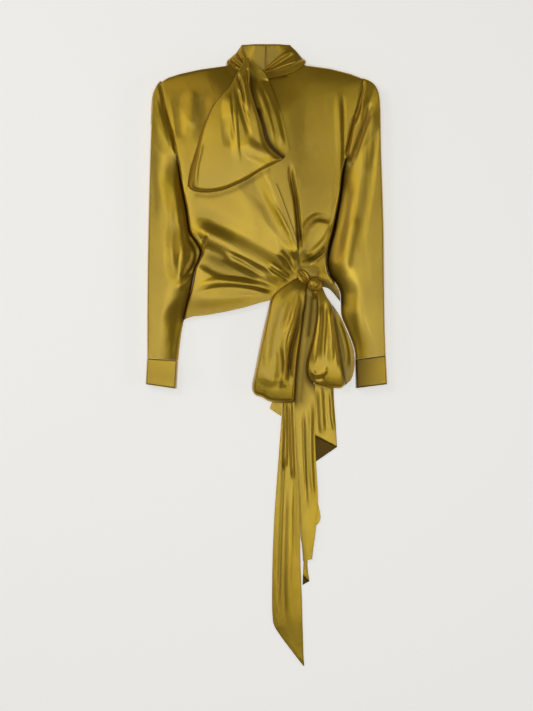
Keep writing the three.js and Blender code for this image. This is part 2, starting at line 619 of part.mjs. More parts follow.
function makeLoop(name, loop) {
  const routes = ['front', 'back'].map((layer) => [0, 1].map((side) => new Route(loop.rows.map((row) => row[layer][side]))));
  const ends = new Route(loop.turn);
  const opens = loop.rows.map((row, n) => ({ at: n / (loop.rows.length - 1), open: row.open }));
  const pointOn = (layer, share, v) => {
    const [left, right] = routes[layer];
    const straight = mix(left.at(share), right.at(share), v);
    const last = mix(left.at(1), right.at(1), v);
    const bend = smooth((share - loop.bendFrom) / (1 - loop.bendFrom));
    return straight.map((value, n) => value + (ends.at(v)[n] - last[n]) * bend);
  };
  const lowHeight = (x, y) => loop.ground(x, y) + CLOTH / 2 + LAYER_GAP + loop.lift;
  const highHeight = (x, y, share, v) => {
    const low = lowHeight(x, y);
    const edges = loop.lips[0] + (loop.lips[1] - loop.lips[0]) * v;
    const dome = edges + (1 - edges) * Math.sin(Math.PI * v) ** 0.65;
    const folds = foldHeight(loop.folds, x, y) * smooth((share - 0.02) / 0.15);
    return Math.max(low + CLOTH + LAYER_GAP, low + fromTable(opens, 'at', share, 'open') * dome + folds);
  };
  const middle = gridOf(loop.steps.along, loop.steps.across, (u, v) => {
    if (Math.abs(u - 0.5) >= TURN_SHARE / 2) {
      const layer = u < 0.5 ? 0 : 1;
      const arm = (0.5 - Math.abs(u - 0.5) ) / (0.5 - TURN_SHARE / 2);
      const share = loop.turnFrom * arm;
      const [x, y] = pointOn(layer, share, v);
      return new THREE.Vector3(x, y, layer ? lowHeight(x, y) : highHeight(x, y, share, v));
    }
    const angle = Math.PI * (0.5 - u) / TURN_SHARE;
    const share = loop.turnFrom + (1 - loop.turnFrom) * Math.cos(angle);
    const blend = 0.5 - 0.5 * Math.sin(angle);
    const [x, y] = mix(pointOn(0, share, v), pointOn(1, share, v), blend);
    const [low, high] = [lowHeight(x, y), highHeight(x, y, share, v)];
    return new THREE.Vector3(x, y, (low + high) / 2 + (high - low) / 2 * Math.sin(angle));
  });
  const moved = (by) => middle.map((row, i) => row.map((p, j) => p.clone().addScaledVector(gridNormal(middle, i, j), by)));
  addPiece(name, wall(moved(CLOTH / 2), moved(-CLOTH / 2)));
}

const BOW_LOOP = {
  rows: [
    { front: [[-43, 583], [-35, 585]], back: [[-42, 576], [-29, 584]], open: 4 },
    { front: [[-51, 567], [-36, 567]], back: [[-46, 562], [-14, 571]], open: 5 },
    { front: [[-61, 551], [-36, 553]], back: [[-52, 545], [-5, 561]], open: 8 },
    { front: [[-73, 529], [-35, 529]], back: [[-62, 522], [7, 539]], open: 11 },
    { front: [[-89, 513], [-26, 504]], back: [[-76, 495], [18, 511]], open: 15 },
    { front: [[-107, 491], [-16, 479]], back: [[-93, 462], [28, 481]], open: 19 },
    { front: [[-125, 453], [-9, 449]], back: [[-112, 427], [37, 449]], open: 22 },
    { front: [[-137, 413], [-2, 421]], back: [[-129, 393], [43, 423]], open: 24 },
    { front: [[-151, 367], [10, 404]], back: [[-145, 362], [45, 404]], open: 22 },
    { front: [[-156, 336], [30, 388]], back: [[-154, 338], [34, 388]], open: 18 },
  ],
  turn: [[-156, 336], [-149, 329], [-139, 325], [-123, 323], [-105, 324], [-83, 329], [-63, 337], [-39, 349], [-13, 365], [11, 377], [32, 388]],
  bendFrom: 0.55,
  turnFrom: 0.94,
  lips: [0.15, 0.55],
  ground: neckTop, lift: 0.6,
  folds: [
    { path: [[-53, 559], [-53, 529], [-49, 499], [-43, 483]], left: 8, right: 8, height: -7 },
    { path: [[-37, 561], [-36, 531]], left: 5, right: 5, height: -4 },
    { path: [[-73, 519], [-75, 489], [-81, 459]], left: 9, right: 8, height: 4 },
    { path: [[-79, 515], [-86, 479], [-97, 453], [-109, 425], [-115, 399]], left: 9, right: 10, height: -5 },
    { path: [[-69, 493], [-72, 447], [-69, 413]], left: 8, right: 7, height: -4 },
    { path: [[-63, 509], [-63, 429], [-61, 379]], left: 8, right: 14, height: 3 },
  ],
  steps: { along: 24, across: 14 },
};

const WAIST_LOOP_RIGHT = {
  rows: [
    { front: [[67, 158], [81, 149]], back: [[69, 140], [80, 138]], open: 2.4 },
    { front: [[45, 144], [78, 121]], back: [[58, 120], [72, 116]], open: 8 },
    { front: [[21, 127], [77, 100]], back: [[34, 100], [70, 96]], open: 14 },
    { front: [[9, 111], [74, 82]], back: [[16, 86], [67, 78]], open: 19 },
    { front: [[1, 81], [71, 56]], back: [[7, 62], [63, 52]], open: 23 },
    { front: [[-7, 47], [67, 24]], back: [[-1, 32], [59, 22]], open: 26 },
    { front: [[-15, 9], [63, -8]], back: [[-9, 2], [55, -8]], open: 28 },
    { front: [[-22, -27], [60, -38]], back: [[-17, -26], [53, -38]], open: 28 },
    { front: [[-28, -56], [58, -66]], back: [[-24, -52], [52, -66]], open: 26 },
    { front: [[-28, -71], [56, -91]], back: [[-26, -71], [53, -89]], open: 22 },
  ],
  turn: [[-28, -71], [-21, -79], [-9, -83], [3, -90], [17, -93], [37, -94], [51, -93], [56, -90]],
  bendFrom: 0.6,
  turnFrom: 0.93,
  lips: [0.25, 0.3],
  ground: waistTop, lift: 0,
  folds: [
    { path: [[71, 131], [67, 89], [61, 59], [51, 39], [45, 9], [43, -15]], left: 9, right: 11, height: -9 },
    { path: [[27, 9], [29, -21], [21, -61]], left: 9, right: 9, height: -4 },
    { path: [[47, 115], [45, 99], [37, 89]], left: 12, right: 10, height: -3 },
    { path: [[-17, -41], [5, -49], [37, -53], [53, -47]], left: 16, right: 12, height: 3 },
  ],
  steps: { along: 22, across: 12 },
};

const WAIST_LOOP_LEFT = {
  rows: [
    { front: [[99, 136], [110, 137]], back: [[100, 131], [111, 131]], open: 2.2 },
    { front: [[104, 113], [119, 117]], back: [[105, 108], [120, 114]], open: 6 },
    { front: [[102, 98], [128, 103]], back: [[104, 94], [134, 98]], open: 12 },
    { front: [[100, 77], [134, 84]], back: [[102, 74], [148.5, 76]], open: 17 },
    { front: [[97, 57], [136, 60]], back: [[100, 55], [161, 48]], open: 21 },
    { front: [[92, 33], [138, 36]], back: [[96, 33], [171.5, 22]], open: 25 },
    { front: [[87, 11], [142, 10]], back: [[92, 12], [175.6, 3]], open: 28 },
    { front: [[81, -11], [146, -17]], back: [[88, -8], [176.6, -20]], open: 29 },
    { front: [[80, -30], [151, -40]], back: [[86, -28], [171, -46]], open: 27 },
    { front: [[85, -45], [155, -59]], back: [[88, -43], [157, -58]], open: 22 },
  ],
  turn: [[85, -45], [93, -51], [103, -52], [117, -57], [131, -62], [147, -64], [156, -59]],
  bendFrom: 0.6,
  turnFrom: 0.93,
  lips: [0.35, 0.5],
  ground: waistTop, lift: 0,
  folds: [
    { path: [[115, 99], [114, 59], [112, 19], [109, -5]], left: 8, right: 8, height: -4 },
    { path: [[125, 101], [129, 59], [131, 19]], left: 9, right: 8, height: 3 },
    { path: [[105, 87], [99, 49], [91, 9], [89, -21]], left: 6, right: 6, height: 4 },
    { path: [[93, -9], [95, -29], [107, -35], [117, -27]], left: 7, right: 7, height: 3 },
  ],
  steps: { along: 22, across: 12 },
};

// Ribbons: the hanging ends of the ties, lying on the plane or on each other

function makeRibbon(name, ribbon) {
  const [left, right] = [0, 1].map((side) => new Route(ribbon.rows.map((row) => row[side])));
  const top = gridOf(ribbon.steps.along, ribbon.steps.across, (u, v) => {
    const [x, y] = mix(left.at(u), right.at(u), v);
    const folds = Math.max(0, foldHeight(ribbon.folds, x, y));
    const rounded = ribbon.rise * Math.sin(Math.PI * v) ** 0.6;
    return new THREE.Vector3(x, y, ribbon.ground(x, y) + CLOTH + rounded + folds);
  });
  const lower = top.map((row, i) => row.map((p, j) => {
    const floor = ribbon.ground(p.x, p.y);
    const edge = i === 0 || j === 0 || i === top.length - 1 || j === row.length - 1;
    return new THREE.Vector3(p.x, p.y, ribbon.solid || edge ? floor : Math.max(floor, p.z - CLOTH));
  }));
  addPiece(name, wall(top, lower));
}

const ON_PLANE = () => 0;
const TIE_LONG = {
  rows: [
    [[33, -90], [60, -90]], [[30, -123], [64, -125]], [[25, -191], [65, -195]], [[19, -271], [66, -275]],
    [[15, -331], [67, -335]], [[12, -411], [68, -415]], [[11, -491], [71, -491]], [[12, -521], [72, -535]],
    [[15, -539], [73, -560]], [[27, -559], [73.5, -580]], [[50, -590], [74, -600]], [[74, -621], [75.5, -619]],
  ],
  folds: [
    { path: [[37, -90], [37, -169], [35, -231]], left: 8, right: 5, height: 3.5 },
    { path: [[48, -90], [50, -171], [54, -251]], left: 5, right: 6, height: 2.8 },
  ],
  ground: ON_PLANE, rise: 0.5, solid: true, steps: { along: 24, across: 6 },
};
const TIE_TURNED = {
  rows: [
    [[96, -55], [134, -61]], [[93, -90], [135, -91]], [[92, -131], [138, -131]], [[94, -171], [140, -162]], [[99, -212], [141, -183]],
  ],
  folds: [{ path: [[108, -60], [110, -111], [113, -161]], left: 8, right: 10, height: 1.5 }],
  ground: ON_PLANE, rise: 0.9, solid: true, steps: { along: 10, across: 6 },
};
const TIE_LOWER = {
  rows: [[[84, -231], [98, -231]], [[80, -281], [102, -287]], [[76, -331], [108, -327]], [[75, -371], [92, -351]], [[74, -411], [82, -411]], [[72, -459], [86, -451]]],
  folds: [],
  ground: ON_PLANE, rise: 0.4, solid: true, steps: { along: 16, across: 5 },
};
const TIE_UNDER = {
  rows: [[[13, -88], [32.4, -90]], [[9, -98], [31.3, -104]], [[6, -106], [29.6, -122]]],
  folds: [],
  ground: ON_PLANE, rise: 0.3, solid: true, steps: { along: 5, across: 4 },
};
const LAYER_OVER_TIES = 2.4;
const TIE_MIDDLE_DROP = [
  { y: 136, height: 10.5 }, { y: 110, height: 8.5 }, { y: 60, height: 5.5 }, { y: 0, height: 3 }, { y: -60, height: LAYER_OVER_TIES },
  { y: -420, height: LAYER_OVER_TIES },
];
const TIE_MIDDLE = {
  rows: [
    [[83, 137], [92, 136]], [[79, 112], [91, 110]], [[78, 96], [99, 92]], [[76, 78], [97.5, 69]], [[70, 40], [91.5, 36]], [[66.5, 10], [85.5, 9]], [[61.9, -14], [80.5, -15]],
    [[60.4, -38], [79.2, -34]], [[58.9, -51], [82.2, -51]], [[57.9, -70], [95, -60]], [[56.9, -88], [99, -91]], [[57, -131], [97, -131]],
    [[60, -191], [98, -191]], [[64, -261], [102, -261]], [[66, -291], [103, -291]], [[67, -331], [100, -331]], [[68, -361], [97, -361]],
    [[71, -381], [94, -381]], [[73, -411], [91, -407]],
  ],
  folds: [{ path: [[89, -91], [88, -191], [93, -291]], left: 7, right: 7, height: 1.5 }],
  ground: (x, y) => fromTable(TIE_MIDDLE_DROP, 'y', y, 'height'), rise: 1.2, solid: false, steps: { along: 22, across: 6 },
};
const WAIST_TAB = {
  rows: [[[69, 176], [100, 174]], [[71, 169], [101, 166]], [[74, 160.5], [100, 158]]],
  folds: [],
  ground: (x, y) => shellHeight(x, y) + PANEL_GAP + 0.4, rise: 0.4, solid: true, steps: { along: 5, across: 6 },
};
const WAIST_END = {
  rows: [[[88, 134], [107, 134]], [[90, 123], [104, 123]], [[94, 111], [97, 111]]],
  folds: [],
  ground: (x, y) => 9 + 6 * smooth((y - 108) / 22), rise: 1.4, solid: false, steps: { along: 5, across: 5 },
};

// Knots: a tight wrap of cloth, an egg with the gathers of the band running over it

function makeKnot(name, knot) {
  const [around, rings] = [16, 8];
  const points = [];
  const triangles = [];
  const at = (k, j) => {
    const tilt = Math.PI * k / rings;
    const turn = 2 * Math.PI * j / around;
    const gather = 1 + knot.gather * Math.cos(knot.gathers * turn) * Math.sin(tilt);
    const [a, b] = [Math.cos(tilt) * knot.length / 2, Math.sin(tilt) * gather];
    const [side, up] = [b * Math.cos(turn) * knot.width / 2, b * Math.sin(turn) * knot.depth / 2];
    const [c, s] = [Math.cos(knot.turn), Math.sin(knot.turn)];
    return new THREE.Vector3(knot.centre[0] + a * c - side * s, knot.centre[1] + a * s + side * c, Math.max(knot.base, knot.centre[2] + up));
  };
  points.push(at(0, 0));
  for (let k = 1; k < rings; k += 1) for (let j = 0; j < around; j += 1) points.push(at(k, j));
  points.push(at(rings, 0));
  const index = (k, j) => 1 + (k - 1) * around + (j % around);
  const last = points.length - 1;
  for (let j = 0; j < around; j += 1) {
    triangles.push([0, index(1, j), index(1, j + 1)]);
    for (let k = 1; k < rings - 1; k += 1) triangles.push(...quad(index(k, j), index(k + 1, j), index(k + 1, j + 1), index(k, j + 1)));
    triangles.push([last, index(rings - 1, j + 1), index(rings - 1, j)]);
  }
  addPiece(name, closedGeometry(points, triangles));
}

makeBack();
makeRightFront();
makeLeftFront();
makeSleeve('sleeve_right', OUTLINE_RIGHT, ARMHOLE_RIGHT, SIDE_RIGHT, FOREARM_RIGHT, -1);
makeSleeve('sleeve_left', OUTLINE_LEFT, ARMHOLE_LEFT, SIDE_LEFT, FOREARM_LEFT, 1);
makeCuff('cuff_right', { outerTop: [-238.3, -6], innerTop: [-176.3, -9.9], outerEnd: [-241, -57], innerEnd: [-179.5, -66] });
makeCuff('cuff_left', { outerTop: [238.3, 0.2], innerTop: [177.2, -8], outerEnd: [241, -57], innerEnd: [178, -65] });
makeCollarHalf('collar_right', { upperOut: [-49, 621], upperMid: [-1.2, 621], lowerOut: -79.5 });
makeCollarHalf('collar_left', { upperOut: [47, 621], upperMid: [-0.8, 621], lowerOut: 77.5 });
makeScarf('scarf_right', SCARF_RIGHT);
makeScarf('scarf_left', SCARF_LEFT);
makeLoop('bow_loop', BOW_LOOP);
makeLoop('waist_loop_right', WAIST_LOOP_RIGHT);
makeLoop('waist_loop_left', WAIST_LOOP_LEFT);
makeRibbon('tie_long', TIE_LONG);
makeRibbon('tie_turned', TIE_TURNED);
makeRibbon('tie_lower', TIE_LOWER);
makeRibbon('tie_under', TIE_UNDER);
makeRibbon('tie_middle', TIE_MIDDLE);
makeRibbon('waist_tab', WAIST_TAB);
makeRibbon('waist_end', WAIST_END);
makeKnot('waist_knot', { centre: [96, 141, 27], base: 18.4, length: 29, width: 27, depth: 24, turn: Math.PI / 2, gathers: 5, gather: 0.02 });
makeKnot('waist_wrap', { centre: [73.3, 156.3, 21.6], base: 15.6, length: 30, width: 16, depth: 18, turn: -0.9, gathers: 7, gather: 0.07 });

export default blouse;
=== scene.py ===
"""A satin wrap blouse with a draped neck bow and a tied waist, laid out flat and seen from above."""

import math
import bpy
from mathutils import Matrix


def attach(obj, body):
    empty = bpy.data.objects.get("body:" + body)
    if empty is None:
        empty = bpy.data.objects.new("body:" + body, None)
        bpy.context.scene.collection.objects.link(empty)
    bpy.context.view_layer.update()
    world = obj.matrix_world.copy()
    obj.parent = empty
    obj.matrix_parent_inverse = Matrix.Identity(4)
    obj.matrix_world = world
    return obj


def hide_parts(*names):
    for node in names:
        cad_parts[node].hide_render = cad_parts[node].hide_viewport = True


bl_info = {
    "name": "Satin wrap blouse",
    "version": (1, 0, 0),
    "blender": (4, 5, 0),
    "location": "View3D > Sidebar > Blouse",
    "description": "Sews the satin panels, scarf bow and waist ties around the packed blouse",
    "category": "Add Mesh",
}

import bpy
import numpy as np
from bpy.props import FloatProperty, FloatVectorProperty, IntProperty, PointerProperty
from mathutils import Vector

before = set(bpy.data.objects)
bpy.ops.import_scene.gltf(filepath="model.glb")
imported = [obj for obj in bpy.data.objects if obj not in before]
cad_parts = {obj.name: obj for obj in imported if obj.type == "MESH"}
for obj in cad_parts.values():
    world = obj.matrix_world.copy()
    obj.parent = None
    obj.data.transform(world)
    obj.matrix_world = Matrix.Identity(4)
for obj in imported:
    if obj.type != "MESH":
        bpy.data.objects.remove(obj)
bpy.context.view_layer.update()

# Sizes are in millimetres until a mesh is made. +Y runs to the collar, and the wearer's right is at -X
MM = 0.001
EDGE_TOP = 3.4
SHOULDER_ROLL = 5
SLEEVE_ROLL = 3.5
SIDE_ROLL = 4
SLEEVE_SIDE_ROLL = 46
UNDERARM = {"y": 410, "span": 70}
HEM_DROP_SPAN = 45
HEM_SHARE = 0.62
NECK_CENTRE = (-8, 590)
NECK_SPAN = 120
NECK_SHARE = 0.45
KNOT_PRESS = {"centre": (78, 158), "reach": 46, "height": 9}
SEAM_GAP = 0.3
PANEL_CLOTH = 1.5
PANEL_GAP = 1.6
LAYER_GAP = 0.7

# Outlines in plan, from the neck point to the wrist
OUTLINE_RIGHT = [
    (-81, 581), (-133, 571), (-173, 562), (-197, 555), (-211, 547), (-221, 534), (-227, 513),
    (-229, 479), (-231, 429), (-233, 369), (-235, 289), (-237, 189), (-238, 89), (-238, -5.6),
]
OUTLINE_LEFT = [
    (79, 581), (127, 573), (167, 563), (191, 553.5), (206, 547), (218, 536), (225, 518), (227.5, 490),
    (228, 469), (229, 409), (231, 349), (234, 249), (235, 149), (236, 69), (238, 0.6),
]
ARMHOLE_RIGHT = [(-211, 547), (-209, 525), (-204, 497), (-197, 469), (-189, 441), (-183, 415), (-177, 395)]
ARMHOLE_LEFT = [(193, 552.5), (190, 529), (185, 505), (177, 477), (169, 449), (163, 419), (157, 389)]
SIDE_RIGHT = [
    (-177, 395), (-173, 365), (-167, 329), (-159, 289), (-153, 249), (-141, 229), (-130, 209),
    (-134, 191), (-142, 173), (-147, 149), (-151, 127), (-157, 107), (-163, 83), (-165, 70),
]
SIDE_LEFT = [
    (157, 389), (151, 359), (148, 329), (143, 299), (135, 259), (127, 225), (121, 197),
    (121, 177), (127, 159), (139, 143), (147, 125), (148, 107),
]
FOREARM_RIGHT = [(-165, 70), (-169, 49), (-173, 19), (-176, -9.5)]
FOREARM_LEFT = [(148, 107), (149.6, 79), (162, 49), (172.2, 23), (176.6, 5), (177, -7.6)]
SHOULDER_RIGHT = [(-80, 579), (-133, 571), (-173, 562), (-197, 554), (-209.5, 546)]
SHOULDER_LEFT = [(78, 579), (127, 572), (167, 561.5), (191.5, 552)]
HEM = [(-165, 71), (-153, 77), (-123, 80), (-83, 87), (-43, 96), (-13, 105), (9, 111), (37, 125), (63, 141)]
WRAP_EDGE = [
    (63, 193), (59, 229), (47, 265), (31, 309), (19, 339), (9, 365), (-3, 409), (-13, 469), (-19, 519), (-21, 549),
]
UNDER_EDGE = [
    (67, 191), (62, 213), (51, 249), (39, 279), (21, 319), (7, 352), (-7, 399), (-17, 449), (-25, 509), (-33, 549),
]
NECKLINE_RIGHT = [(-81, 579), (-66, 563), (-44, 556), (-21, 549)]
NECKLINE_LEFT = [(78, 579), (59, 571), (31, 563), (3, 557), (-33, 549)]
LEFT_FRONT_HEM = [(67, 177), (86, 171), (103, 153), (122, 145), (135, 141)]
BACK_HEM = [
    (-164, 73), (-123, 84), (-43, 100), (9, 115), (67, 133), (92, 136), (111, 137), (127, 131.5), (147, 108),
]

# Height of the crown of body and sleeves, down the garment: y, height
CROWN_BODY = [(60, 11.5), (120, 12), (200, 14.5), (300, 19), (392, 23), (450, 24.5), (520, 24), (560, 21), (610, 12)]
CROWN_LEFT = [(60, 14), (150, 17), (200, 18), (300, 19), (392, 20.5), (450, 22.5), (520, 23.5), (560, 21), (610, 12)]
CROWN_LEFT_FROM = {"x": 40, "span": 45}
CROWN_SLEEVE = [(-20, 16.5), (100, 18), (250, 19.5), (330, 20.5), (392, 22), (460, 24), (520, 24), (560, 21), (610, 12)]

# Folds: height (a valley is below 0), width on the left and right of the path, and the path,
# where a third number is the share of the height at that point
SLEEVE_FOLDS = [
    (-1.6, 7, 11, [(-211, 525, 0.4), (-205, 489), (-195, 453), (-184, 415, 0.3)]),
    (1, 4, 7, [(-209, 533), (-206, 509), (-199, 487)]),
    (1, 20, 25, [(-221, 489), (-213, 429), (-205, 379), (-201, 319), (-199, 259)]),
    (-1, 14, 25, [(-199, 379), (-193, 319), (-190, 269), (-187, 209)]),
    (1.3, 9, 17, [(-184, 349), (-177, 299), (-172, 259)]),
    (-2.2, 11, 20, [(-183, 269, 0.5), (-184, 219), (-183, 169), (-177, 143, 0.6)]),
    (2.3, 12, 21, [(-174, 309, 0.4), (-170, 249), (-168, 205), (-165, 165, 0.8)]),
    (-5, 10, 13, [(-161, 245, 0.6), (-149, 225), (-141, 207), (-143, 187), (-155, 165), (-171, 147, 0.5)]),
    (2, 8, 11, [(-180, 142, 0.6), (-169, 139), (-158, 146), (-149, 163, 0.6)]),
    (-1, 13, 20, [(-167, 99), (-177, 49), (-187, 9)]),
    (2.3, 6, 8, [(199, 519, 0.5), (193, 489), (183, 449), (171, 415), (161, 383)]),
    (-4, 8, 9, [(207, 503, 0.5), (200, 471), (189, 439), (177, 405), (165, 375)]),
    (1.4, 4, 6, [(184, 507), (180, 489), (173, 475)]),
    (-2.2, 4, 6, [(187, 504), (184, 487), (178, 471), (175, 457)]),
    (1.4, 4, 7, [(192, 503), (187, 479), (178, 457)]),
    (1.2, 15, 21, [(213, 489), (207, 429), (197, 379), (187, 349)]),
    (-1.2, 13, 22, [(215, 469), (210, 409), (205, 349), (197, 299), (189, 249), (179, 205)]),
    (-2.3, 16, 20, [(166, 349), (158, 309), (151, 269), (143, 219), (137, 185)]),
    (1.4, 13, 22, [(181, 279), (169, 239), (161, 199), (155, 159)]),
    (-1.2, 13, 22, [(173, 149), (169, 99), (172, 49), (181, -1)]),
]
ARMHOLE_SEAMS = [(-4, 5, 5, ARMHOLE_RIGHT), (-4, 5, 5, ARMHOLE_LEFT)]
FRONT_FOLDS = ARMHOLE_SEAMS + [
    (1.1, 14, 19, [(-147, 529), (-147, 489), (-149, 449)]),
    (-1, 13, 19, [(-173, 519), (-172, 469), (-169, 429)]),
    (-0.8, 16, 24, [(-123, 519), (-123, 469), (-125, 419)]),
    (5, 34, 27, [
        (-156, 241, 0.7), (-127, 243, 1.1), (-117, 238, 1.1), (-83, 222, 0.9), (-46, 201, 0.65), (-15, 184, 0.6),
        (15, 166, 0.8), (42, 151),
    ]),
    (-1.8, 34, 22, [(-143, 268, 0.5), (-114, 263, 1), (-83, 250, 0.8), (-49, 232, 0.2)]),
    (-1.3, 9, 12, [(-77, 202), (-46, 189), (-15, 173), (9, 159)]),
    (1.5, 9, 16, [(-91, 206, 0.6), (-71, 193), (-37, 173), (-5, 153)]),
    (-3.2, 30, 16, [(-137, 196, 0.6), (-115, 178, 0.9), (-83, 164), (-37, 156), (-5, 153, 0.8)]),
    (2.4, 13, 11, [
        (-135, 122, 0.9), (-127, 136, 0.9), (-110, 145), (-90, 147), (-64, 147), (-32, 142), (-1, 133), (23, 127, 0.5),
    ]),
    (-1.1, 6, 14, [(-131, 124), (-105, 132), (-82, 134), (-55, 134), (-26, 131), (11, 124)]),
    (0.8, 12, 20, [(-139, 109, 0.6), (-93, 111), (-43, 115, 0.9), (-13, 119, 0.4)]),
    (-1.3, 15, 18, [(-23, 333, 0.4), (-1, 299), (15, 271), (43, 233), (57, 209, 0.6)]),
    (0.8, 5, 8, [(15, 303), (35, 265), (49, 235), (61, 205)]),
    (-1.7, 8, 12, [(25, 209), (40, 191), (53, 171)]),
    (-1.7, 4, 8, [(31, 204), (45, 183), (61, 160)]),
    (1.3, 5, 7, [(53, 213), (60, 189), (64, 169)]),
    (-1.5, 4, 7, [(3, 177), (31, 159), (47, 149)]),
    (1.1, 6, 8, [(7, 185), (31, 168), (49, 154)]),
    (1.4, 6, 8, [(-151, 245), (-137, 230), (-125, 212)]),
    (-2.1, 4, 8, [(-119, 239), (-123, 221), (-131, 193)]),
    (1.3, 14, 11, [(143, 529), (145, 449), (147, 379), (143, 329), (137, 289), (131, 255)]),
    (-1.4, 5, 8, [(152, 519), (154, 449), (154, 399), (150, 349)]),
    (-6, 9, 5, [(46, 385, 0.4), (49, 349, 0.8), (56, 313), (61, 269), (64, 229), (66, 203, 0.5)]),
    (-3.4, 13, 11, [(71, 225, 0.7), (79, 255), (97, 273), (119, 271, 0.6), (129, 257, 0.2)]),
    (2.6, 16, 6, [(129, 259, 0.4), (117, 233), (99, 213), (77, 195, 0.7)]),
    (2.4, 16, 5, [(149, 349, 0.3), (143, 293), (134, 254), (118, 221), (97, 199), (71, 187, 0.7)]),
    (-2.6, 4, 12, [(141, 275), (133, 241), (119, 208), (97, 188), (75, 178)]),
]
MAIN_FOLDS = SLEEVE_FOLDS + FRONT_FOLDS


# Curves

def smooth(t):
    k = np.clip(t, 0.0, 1.0)
    return k * k * (3 - 2 * k)


def roll(t):
    k = 1 - np.clip(t, 0.0, 1.0)
    return np.sqrt(1 - k * k)


def mix(a, b, t):
    return a + (b - a) * t


class Route:
    """A smooth line through plan points, read by the share of its length."""

    def __init__(self, points, per_span=8):
        p = np.array([point[:2] for point in points], float)
        if per_span == 1:
            self.samples = p
        else:
            around = np.vstack([p[:1], p, p[-1:]])
            t = np.arange(per_span)[:, None] / per_span
            spans = [
                0.5 * (2 * b + (c - a) * t + (2 * a - 5 * b + 4 * c - d) * t ** 2 + (3 * b - a - 3 * c + d) * t ** 3)
                for a, b, c, d in zip(around, around[1:], around[2:], around[3:])
            ]
            self.samples = np.vstack([*spans, p[-1:]])
        steps = np.linalg.norm(np.diff(self.samples, axis=0), axis=1)
        self.lengths = np.concatenate([[0], np.cumsum(steps)])
        self.length = self.lengths[-1]
        self.marks = self.lengths[::per_span] / self.length
        self.strengths = [point[2] if len(point) > 2 else 1 for point in points]

    def at(self, share):
        target = np.clip(share, 0, 1) * self.length
        return np.stack([np.interp(target, self.lengths, self.samples[:, n]) for n in (0, 1)], -1)

    def nearest(self, xy):
        """Distance of each point, the side it lies on and the share of the length beside it."""
        flat = xy.reshape(-1, 2)
        best = np.full(len(flat), np.inf)
        side = np.ones(len(flat))
        share = np.zeros(len(flat))
        for n in range(len(self.samples) - 1):
            p, d = self.samples[n], self.samples[n + 1] - self.samples[n]
            away = flat - p
            t = np.clip((away @ d) / (d @ d), 0, 1)
            distance = np.hypot(away[:, 0] - t * d[0], away[:, 1] - t * d[1])
            nearer = distance < best
            best = np.where(nearer, distance, best)
            side = np.where(nearer, np.where(d[0] * away[:, 1] - d[1] * away[:, 0] >= 0, 1, -1), side)
            at = (self.lengths[n] + t * (self.lengths[n + 1] - self.lengths[n])) / self.length
            share = np.where(nearer, at, share)
        return [a.reshape(xy.shape[:-1]) for a in (best, side, share)]


ROUTES = {}


def route_of(path):
    key = tuple(path)
    if key not in ROUTES:
        ROUTES[key] = Route(path)
    return ROUTES[key]


def profile(rows, at):
    """A value from a table of rows, along a smooth curve through them."""
    curve = route_of(rows).samples
    return np.interp(at, curve[:, 0], curve[:, 1])


FOLD_TAPER = 0.22


def fold_relief(folds, xy):
    """How far the folds move each point up or down, and how deep it lies in their valleys, where shade is painted into
    the colour.
    """
    total = np.zeros(xy.shape[:-1])
    depth = np.zeros(xy.shape[:-1])
    for height, left, right, path in folds:
        line = route_of(path)
        reach = max(left, right)
        low, high = line.samples.min(0) - reach, line.samples.max(0) + reach
        inside = np.all((xy > low) & (xy < high), axis=-1)
        if not inside.any():
            continue
        distance, side, share = line.nearest(xy[inside])
        width = np.where(side > 0, left, right)
        across = np.clip(1 - (distance / width) ** 2, 0, 1) ** 2
        strength = np.interp(share, line.marks, line.strengths)
        rise = height * strength * across * smooth(np.minimum(share, 1 - share) / FOLD_TAPER + 0.1)
        total[inside] += rise
        depth[inside] += np.maximum(0, -rise)
    return total, depth


def fold_height(folds, xy):
    return fold_relief(folds, xy)[0]


# The upper surface of the body and sleeves
OUTLINES = [Route(OUTLINE_RIGHT), Route(OUTLINE_LEFT)]
SHOULDERS = [Route(SHOULDER_RIGHT, 1), Route(SHOULDER_LEFT, 1)]
SIDES = [Route(SIDE_RIGHT + FOREARM_RIGHT[1:]), Route(SIDE_LEFT + FOREARM_LEFT[1:])]
HEM_LINE = Route(HEM)
WRAP_LINE = Route(WRAP_EDGE)


